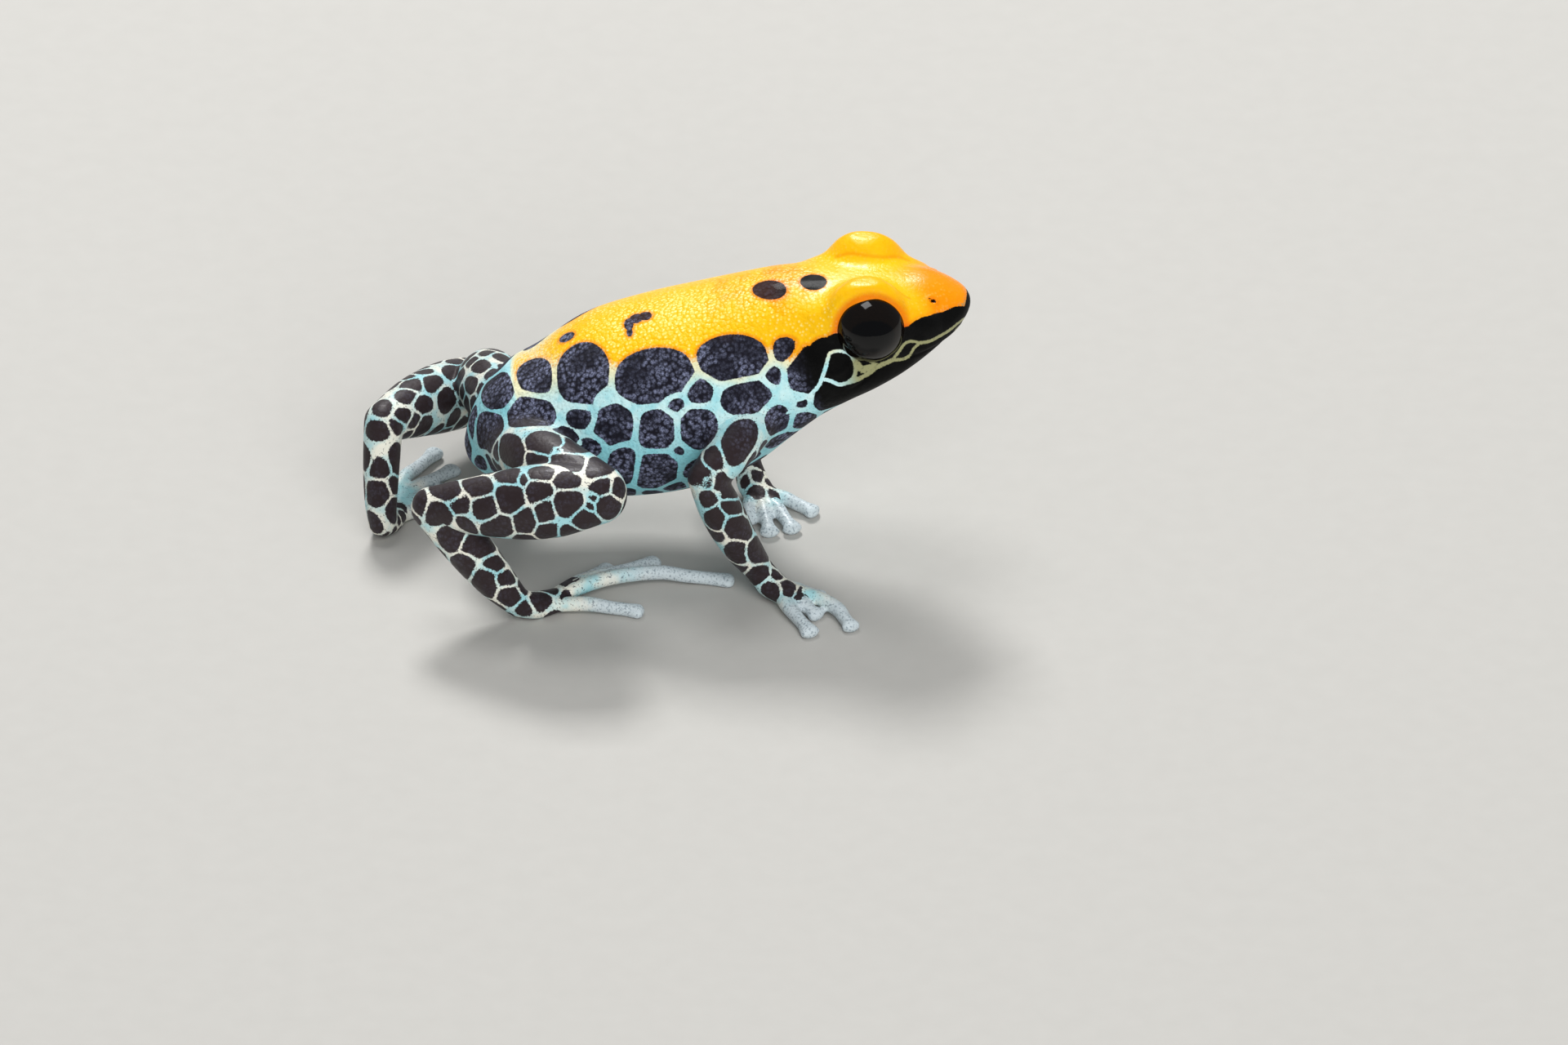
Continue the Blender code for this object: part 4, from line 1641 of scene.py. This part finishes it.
@dataclass
class FrogSkin:
    """The one skin over head, torso and limbs, with lengths in millimetres.

    Names that end in blend, start or top and hold two numbers give where a field is 0 and
    where it is 1. Those that end in grow give what is added to a mark's half sizes, to be
    taken back by the net's lines, and those that end in mark are radii of round marks.
    """

    trunk: Trunk
    face: Face
    limbs: list[Arm | Leg]
    view: PhotoView
    shift: np.ndarray
    solid_box: Sequence[Vector]
    voxel: float = 0.07
    smoothing: int = 7
    smoothing_factor: float = 0.5
    seam_smoothing: int = 90
    seam_levels: int = 10
    seam_reach: float = 0.5
    plain_smoothing: float = 0.2
    trunk_reach: float = 2.4
    limb_margin: float = 1.6
    limb_blend: tuple[float, float] = (-0.25, 0.45)
    digit_pale: tuple[float, float] = (0.12, 0.42)
    crest_softness: float = 0.03
    fold_depth: float = 0.012
    fold_blend: tuple[float, float] = (-0.09, 0.03)
    head_grow: float = 0.03
    flank_grow: float = 0.07
    back_grow: float = 0.02
    limb_grow: float = 0.13
    tip_height: float = 0.16
    tip_half: tuple[float, float] = (0.75, 0.28)
    belly_top: float = -1.2
    belly_mark: float = 0.42
    flank_mark: float = 0.52
    head_start: float = 12.0
    small_mark: float = 0.34
    paw_mark: float = 0.24
    bare_top: float = -0.35
    limb_drop: float = 6.0
    line_width: float = 0.18
    line_thinning: float = 0.1
    pale_lift: float = 0.3
    pale_blend: tuple[float, float] = (0.3, 0.8)
    mask_top: float = 9.3
    mask_radius: float = 1.7
    lip_start: tuple[float, float] = (12.4, 13.4)
    lip_top: tuple[float, float] = (0.9, 0.5)
    # How strongly the lids' rims round the eyes are darkened with painted shade
    rim_colour: float = 2.2
    rim_blend: tuple[float, float] = (1.42, 1.2)
    lid_blend: tuple[float, float] = (2.3, 1.5)
    grain_least: float = 0.3
    grain_blend: tuple[float, float] = (13.2, 11.6)

    def clay(self) -> Clay:
        """All the forms of the flesh, laid into one another.

        Returns:
            The clay.
        """
        clay = Clay()
        clay.add_rings(self.trunk.rings())
        self.face.add_lids(clay)
        for piece in self.limbs:
            for limb in piece.limbs():
                clay.add_rings(limb.rings())
        return clay

    def one_surface(self) -> bpy.types.Mesh:
        """The forms joined, smoothed and made fine.

        Returns:
            A mesh in millimetres.
        """
        lump = placed("lump", self.clay().mesh("lump"))
        joined = lump.modifiers.new("join", "REMESH")
        joined.mode = "VOXEL"
        joined.voxel_size = self.voxel
        rough = baked(lump)
        lump.modifiers.clear()
        lump.data = rough
        seam = self.regions(vertex_places(rough))["seam"]
        group = lump.vertex_groups.new(name="seam")
        for level in range(1, self.seam_levels + 1):
            members = np.nonzero(np.round(seam * self.seam_levels) == level)[0]
            group.add(members.tolist(), level / self.seam_levels, "REPLACE")
        for name, turns, where in (
            ("ease", self.smoothing, ""),
            ("fill_creases", self.seam_smoothing, "seam"),
        ):
            eased = lump.modifiers.new(name, "SMOOTH")
            eased.factor = self.smoothing_factor
            eased.iterations = turns
            eased.vertex_group = where
        finer = lump.modifiers.new("finer", "SUBSURF")
        finer.levels = 1
        finer.render_levels = 1
        mesh = baked(lump)
        bpy.data.objects.remove(lump)
        return mesh

    def regions(self, points: np.ndarray) -> dict[str, np.ndarray]:
        """Says which piece of the body each place belongs to.

        Args:
            points: Places on the skin.

        Returns:
            Fields named kind, owner, slack, limb, pale and seam.
        """
        trunk = self.trunk.closeness(points)
        best = trunk.copy()
        after = np.full(len(points), FAR)
        kind = np.full(len(points), Region.TRUNK.value)
        owner = np.zeros(len(points), int)
        limb_best = np.full(len(points), FAR)
        pale = np.zeros(len(points))
        seam = np.zeros(len(points))
        on_trunk = np.exp(-(((trunk - 1) * self.trunk_reach / self.seam_reach) ** 2))
        pieces = [limb for piece in self.limbs for limb in piece.limbs()]
        for number, limb in enumerate(pieces, 1):
            rows = limb.spine()
            low = rows[:, :3].min(0) - self.limb_margin
            high = rows[:, :3].max(0) + self.limb_margin
            near = np.nonzero(((points > low) & (points < high)).all(axis=1))[0]
            ratio = np.full(len(near), FAR)
            at = np.zeros(len(near))
            size = np.ones(len(near))
            for row, step in zip(rows, np.linspace(0, 1, len(rows))):
                gap = np.linalg.norm(points[near] - row[:3], axis=1) / row[3:].mean()
                closer = gap < ratio
                ratio[closer] = gap[closer]
                at[closer] = step
                size[closer] = row[3:].mean()
            limb_best[near] = np.minimum(limb_best[near], ratio)
            on_limb = np.exp(-(((ratio - 1) * size / self.seam_reach) ** 2))
            seam[near] = np.maximum(seam[near], on_limb * on_trunk[near])
            won = ratio < best[near]
            after[near] = np.where(won, best[near], np.minimum(after[near], ratio))
            best[near[won]] = ratio[won]
            kind[near[won]] = limb.region.value
            owner[near[won]] = number
            if limb.region is Region.DIGIT:
                pale[near[won]] = smooth_step(*self.digit_pale, at[won])
        seam = np.maximum(seam, self.face.seam(points, on_trunk, self.seam_reach))
        limb_share = smooth_step(*self.limb_blend, trunk - limb_best)
        seam = np.maximum(seam, self.plain_smoothing * (1 - limb_share))
        fields = {"kind": kind, "owner": owner, "slack": after - best}
        return fields | {"limb": limb_share, "pale": pale, "seam": seam}

    def shaped(self, mesh: bpy.types.Mesh) -> np.ndarray:
        """Presses the face into the skin and keeps the skin within the solids' box.

        Args:
            mesh: The plain skin.

        Returns:
            Its points after the move.
        """
        points = self.face.press(vertex_places(mesh), vertex_normals(mesh), self.trunk)
        points = self.face.open_eyes(points)
        low, high = (np.array(c) / MM - self.shift for c in self.solid_box)
        # The crests end softly under the solids' height
        under = (high[2] - points[:, 2]) / self.crest_softness
        points[:, 2] = high[2] - self.crest_softness * np.logaddexp(0, under)
        return np.clip(points, low, high)

    def mark_radius(self, points: np.ndarray, kind: np.ndarray, back: np.ndarray) -> np.ndarray:
        """How large the round marks of each place are.

        Args:
            points: Places on the skin.
            kind: Which region each belongs to.
            back: Heights over the orange's edge.

        Returns:
            Radii in millimetres, 0 where no marks are.
        """
        along, _, up = self.trunk.read(points)
        radius = np.where(up < self.belly_top, self.belly_mark, self.flank_mark)
        radius = np.where(along > self.head_start, self.small_mark, radius)
        sizes = (self.small_mark, self.small_mark, self.paw_mark, 0.0)
        for region, size in zip((Region.ARM, Region.LEG, Region.PAW, Region.DIGIT), sizes):
            radius = np.where(kind == region.value, size, radius)
        return np.where((kind == Region.TRUNK.value) & (back > self.bare_top), 0.0, radius)

    def lay_marks(self, marks: Markings, sizes: np.ndarray) -> None:
        """Lays the markings that the photograph shows, and fills the hidden sides.

        Args:
            marks: The skin's markings.
            sizes: Radii of the round marks that fill a place.
        """
        rng = np.random.default_rng(marks.seed)
        sides = marks.lay(HEAD_SPOTS, self.head_grow) + marks.lay(FLANK_SPOTS, self.flank_grow)
        marks.lay(BACK_SPOTS, self.back_grow)
        # The mask goes round the snout's tip
        tip = self.trunk.place(self.trunk.length, 0.0, self.tip_height)
        wide = np.array([0.0, self.tip_half[0], 0.0])
        tall = self.trunk.over * self.tip_half[1]
        marks.marks.append(Mark(tip, self.trunk.forward, wide, tall, sides[0].patch))
        for group in (ARM_SPOTS, THIGH_SPOTS, SHANK_SPOTS, TARSUS_SPOTS, FAR_SHANK_SPOTS):
            marks.lay(group, self.limb_grow)
        marks.mirror(sides, rng)
        marks.fill(sizes, rng)

    def fields(self, points: np.ndarray, mesh: bpy.types.Mesh) -> dict[str, np.ndarray]:
        """Works out what the skin's points carry for its finish.

        Args:
            points: The skin's points.
            mesh: The skin, with the points in it.

        Returns:
            One list of numbers for each of SKIN_FIELDS, among others.
        """
        faces = [tuple(p.vertices) for p in mesh.polygons]
        fields = self.regions(points)
        limb, kind = fields["limb"], fields["kind"]
        sorts = (fields["owner"], fields["slack"], limb)
        marks = Markings(points, vertex_normals(mesh), faces, *sorts, self.view, self.trunk)
        back = marks.back_height()
        back = np.where(kind == Region.TRUNK.value, back, back - self.limb_drop * limb)
        self.lay_marks(marks, self.mark_radius(points, kind, back))
        along, _, up = self.trunk.read(points)
        net = marks.net(self.line_width - self.line_thinning * limb)
        net = net + self.pale_lift * smooth_step(*self.pale_blend, fields["pale"])
        # The lids are orange down to the level where the black mask meets the eye
        eye_gap = self.face.eye_gap(points)
        lid = np.where(eye_gap < self.mask_radius, points[:, 2] - self.mask_top, -FAR)
        fold = smooth_step(*self.fold_blend, marks.inside(FOLD_STROKES))
        grain = smooth_step(*self.grain_blend, along) * (1 - limb)
        return fields | {
            "spots": np.maximum(np.maximum(net, lid), marks.inside(LIP_STROKES)),
            "back": back,
            "along": along,
            "lip": smooth_step(*self.lip_start, along) * smooth_step(*self.lip_top, up),
            "crease": fold,
            # Painted shade in the crease between the eyes and at the lids' rims against the eyes
            "fold": np.maximum(fold, self.rim_colour * smooth_step(*self.rim_blend, eye_gap)),
            # Where the raised lids take painted light
            "lid": smooth_step(*self.lid_blend, eye_gap),
            "grain": self.grain_least + (1 - self.grain_least) * grain,
        }

    def build(self, finish: MoistFrogSkin) -> bpy.types.Object:
        """Builds the skin, marks it and puts it on the solids.

        Args:
            finish: The skin's finish.

        Returns:
            The piece.
        """
        mesh = self.one_surface()
        points = self.shaped(mesh)
        move_points(mesh, points)
        LOG.info("skin surface: %d points", len(points))
        fields = self.fields(points, mesh)
        for name in SKIN_FIELDS:
            carry(mesh, name, fields[name])
        points = points - vertex_normals(mesh) * (self.fold_depth * fields["crease"])[:, None]
        mesh.name = "skin"
        mesh.materials.clear()
        mesh.materials.append(finish.build())
        mesh.shade_smooth()
        move_points(mesh, (points + self.shift) * MM)
        skin = placed("skin", mesh)
        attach(skin, "root")
        nodes = ["head", "torso"]
        for piece in self.limbs:
            nodes += piece.nodes()
        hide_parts(*nodes)
        return skin


def placed(name: str, data: bpy.types.ID) -> bpy.types.Object:
    """Puts a new object into the scene.

    Args:
        name: The object's name.
        data: Its mesh, light or camera.

    Returns:
        The object.
    """
    thing = bpy.data.objects.new(name, data)
    bpy.context.scene.collection.objects.link(thing)
    return thing


def baked(piece: bpy.types.Object) -> bpy.types.Mesh:
    """The piece's mesh with its modifiers worked in."""
    graph = bpy.context.evaluated_depsgraph_get()
    return bpy.data.meshes.new_from_object(piece.evaluated_get(graph))


def move_points(mesh: bpy.types.Mesh, points: np.ndarray) -> None:
    """Gives the mesh's points new places."""
    mesh.vertices.foreach_set("co", points.ravel())
    mesh.update()


def carry(mesh: bpy.types.Mesh, name: str, values: np.ndarray) -> None:
    """Lets the mesh's points carry numbers under a name."""
    layer = mesh.attributes.new(name, "FLOAT", "POINT")
    layer.data.foreach_set("value", values.astype(np.float32))


def vertex_places(mesh: bpy.types.Mesh) -> np.ndarray:
    """The mesh's points, one a row.

    Args:
        mesh: The mesh.

    Returns:
        Rows of X, Y and Z.
    """
    flat = np.empty(len(mesh.vertices) * 3)
    mesh.vertices.foreach_get("co", flat)
    return flat.reshape(-1, 3)


def vertex_normals(mesh: bpy.types.Mesh) -> np.ndarray:
    """The mesh's point normals, one a row.

    Args:
        mesh: The mesh.

    Returns:
        Rows of X, Y and Z.
    """
    flat = np.empty(len(mesh.vertices) * 3)
    mesh.vertex_normals.foreach_get("vector", flat)
    return flat.reshape(-1, 3)


@dataclass
class Eyeball:
    """One eye: a ball with a slightly raised cornea, a wide oval pupil and a dark iris."""

    side: Side
    face: Face
    shift: np.ndarray
    around: int = 96
    down: int = 64
    cornea_rise: float = 0.03
    cornea_blend: tuple[float, float] = (0.9, 0.2)
    pupil_wide: float = 0.62
    pupil_tall: float = 0.46
    pupil_blend: tuple[float, float] = (0.97, 1.03)

    def build(self, finish: bpy.types.Material) -> bpy.types.Object:
        """Builds the eye and puts it in the head.

        Args:
            finish: The wet material.

        Returns:
            The piece.
        """
        gaze = self.face.gaze(self.side)
        level = unit(np.cross(gaze, [0, 0, 1.0]))
        tall = np.cross(level, gaze)
        rings = []
        iris = []
        turns = 2 * np.pi * np.arange(self.around) / self.around
        for lean in np.linspace(0, np.pi, self.down)[1:-1]:
            rise = 1 + self.cornea_rise * float(smooth_step(*self.cornea_blend, np.array(lean)))
            wide, high = np.cos(turns) * math.sin(lean), np.sin(turns) * math.sin(lean)
            ring = np.outer(wide, level) + np.outer(high, tall) + gaze * math.cos(lean)
            rings.append(self.face.eye_at(self.side) + ring * self.face.eye_radius * rise)
            oval = np.hypot(wide / self.pupil_wide, high / self.pupil_tall)
            front = math.cos(lean) > 0
            iris.append(smooth_step(*self.pupil_blend, oval) if front else np.ones(self.around))
        name = f"eyeball_{self.side.word}"
        clay = Clay()
        clay.add_rings(rings)
        mesh = clay.mesh(name)
        carry(mesh, "iris", np.concatenate(iris))
        mesh.materials.append(finish)
        mesh.shade_smooth()
        move_points(mesh, (np.vstack(rings) + self.shift) * MM)
        ball = placed(name, mesh)
        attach(ball, "root")
        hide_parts(f"eye_{self.side.word}")
        return ball


@dataclass(frozen=True)
class SoftLight:
    """A soft square light: the way to it from the frog, its metres away and across, its watts."""

    name: str
    way: tuple[float, float, float]
    distance: float
    size: float
    power: float
    mirrored: bool = True

    def hang(self, aim: Vector) -> None:
        """Hangs the light so that it faces a place.

        Args:
            aim: The place.
        """
        data = bpy.data.lights.new(self.name, "AREA")
        data.size = self.size
        data.energy = self.power
        light = placed(self.name, data)
        direction = Vector(self.way).normalized()
        light.location = aim + direction * self.distance
        light.rotation_mode = "QUATERNION"
        light.rotation_quaternion = (-direction).to_track_quat("-Z", "Y")
        light.visible_glossy = self.mirrored


@dataclass(frozen=True)
class Studio:
    """Paper floor, soft lights and the camera at the photograph's angle, in metres."""

    view: PhotoView
    shift: np.ndarray
    floor_half: float = 2.0
    lights: tuple[SoftLight, ...] = (
        SoftLight("key", (-0.09, 0.667, 0.728), 0.30, 0.07, 0.71),
        SoftLight("top", (-0.15, 0.27, 0.96), 0.35, 0.13, 0.32),
        SoftLight("fill", (0.25, -0.80, 0.55), 0.50, 0.40, 2.15, mirrored=False),
    )
    aim_height: float = 0.005
    sky: str = "#E9EDF2"
    sky_strength: float = 0.22
    sensor_mm: float = 36.0
    clip: tuple[float, float] = (0.01, 10.0)

    def lay_floor(self) -> None:
        """Lays the paper under the frog."""
        half = self.floor_half
        mesh = bpy.data.meshes.new("floor")
        corners = [(-half, -half, 0), (half, -half, 0), (half, half, 0), (-half, half, 0)]
        mesh.from_pydata(corners, [], [(0, 1, 2, 3)])
        mesh.materials.append(MattePaper().build())
        floor = placed("floor", mesh)
        floor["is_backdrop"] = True

    def light(self) -> None:
        """Hangs the lights and sets the room's soft light."""
        aim = Vector(self.shift * MM) + Vector((0.0, 0.0, self.aim_height))
        for light in self.lights:
            light.hang(aim)
        bpy.context.scene.view_settings.view_transform = "Standard"
        world = bpy.data.worlds.new("studio")
        world.use_nodes = True
        back = world.node_tree.nodes["Background"]
        back.inputs["Color"].default_value = linear(self.sky)
        back.inputs["Strength"].default_value = self.sky_strength
        bpy.context.scene.world = world

    def set_camera(self) -> None:
        """Puts the camera where the photograph was taken from."""
        data = bpy.data.cameras.new("camera")
        data.sensor_width = self.sensor_mm
        picture = self.view.width / self.view.pixels_per_mm
        data.lens = data.sensor_width * self.view.distance / picture
        data.clip_start, data.clip_end = self.clip
        camera = placed("camera", data)
        camera.location = Vector((self.view.eye + self.shift) * MM)
        camera.rotation_mode = "QUATERNION"
        camera.rotation_quaternion = Vector(-self.view.back).to_track_quat("-Z", "Y")
        bpy.context.scene.camera = camera


def main() -> None:
    """Builds the frog's skin and eyes and the studio round it."""
    logging.basicConfig(level=logging.INFO, format="%(name)s: %(message)s")
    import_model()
    solid_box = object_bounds()
    face = Face()
    low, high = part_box("eye_right")
    shift = np.array((low + high) / 2) / MM - face.eye_at(Side.RIGHT)
    LOG.info("the solids stand %s mm from the pose's own zero", np.round(shift, 3))
    view = PhotoView()
    limbs = [NEAR_ARM, FAR_ARM, NEAR_LEG, FAR_LEG]
    skin = FrogSkin(Trunk(), face, limbs, view, shift, solid_box)
    piece = skin.build(MoistFrogSkin())
    LOG.info("%s: %d faces", piece.name, len(piece.data.polygons))
    wet = WetCornea().build()
    for side in Side:
        ball = Eyeball(side, face, shift).build(wet)
        LOG.info("%s: %d faces", ball.name, len(ball.data.polygons))
    studio = Studio(view, shift)
    studio.lay_floor()
    studio.light()
    studio.set_camera()


if __name__ == "__main__":
    main()
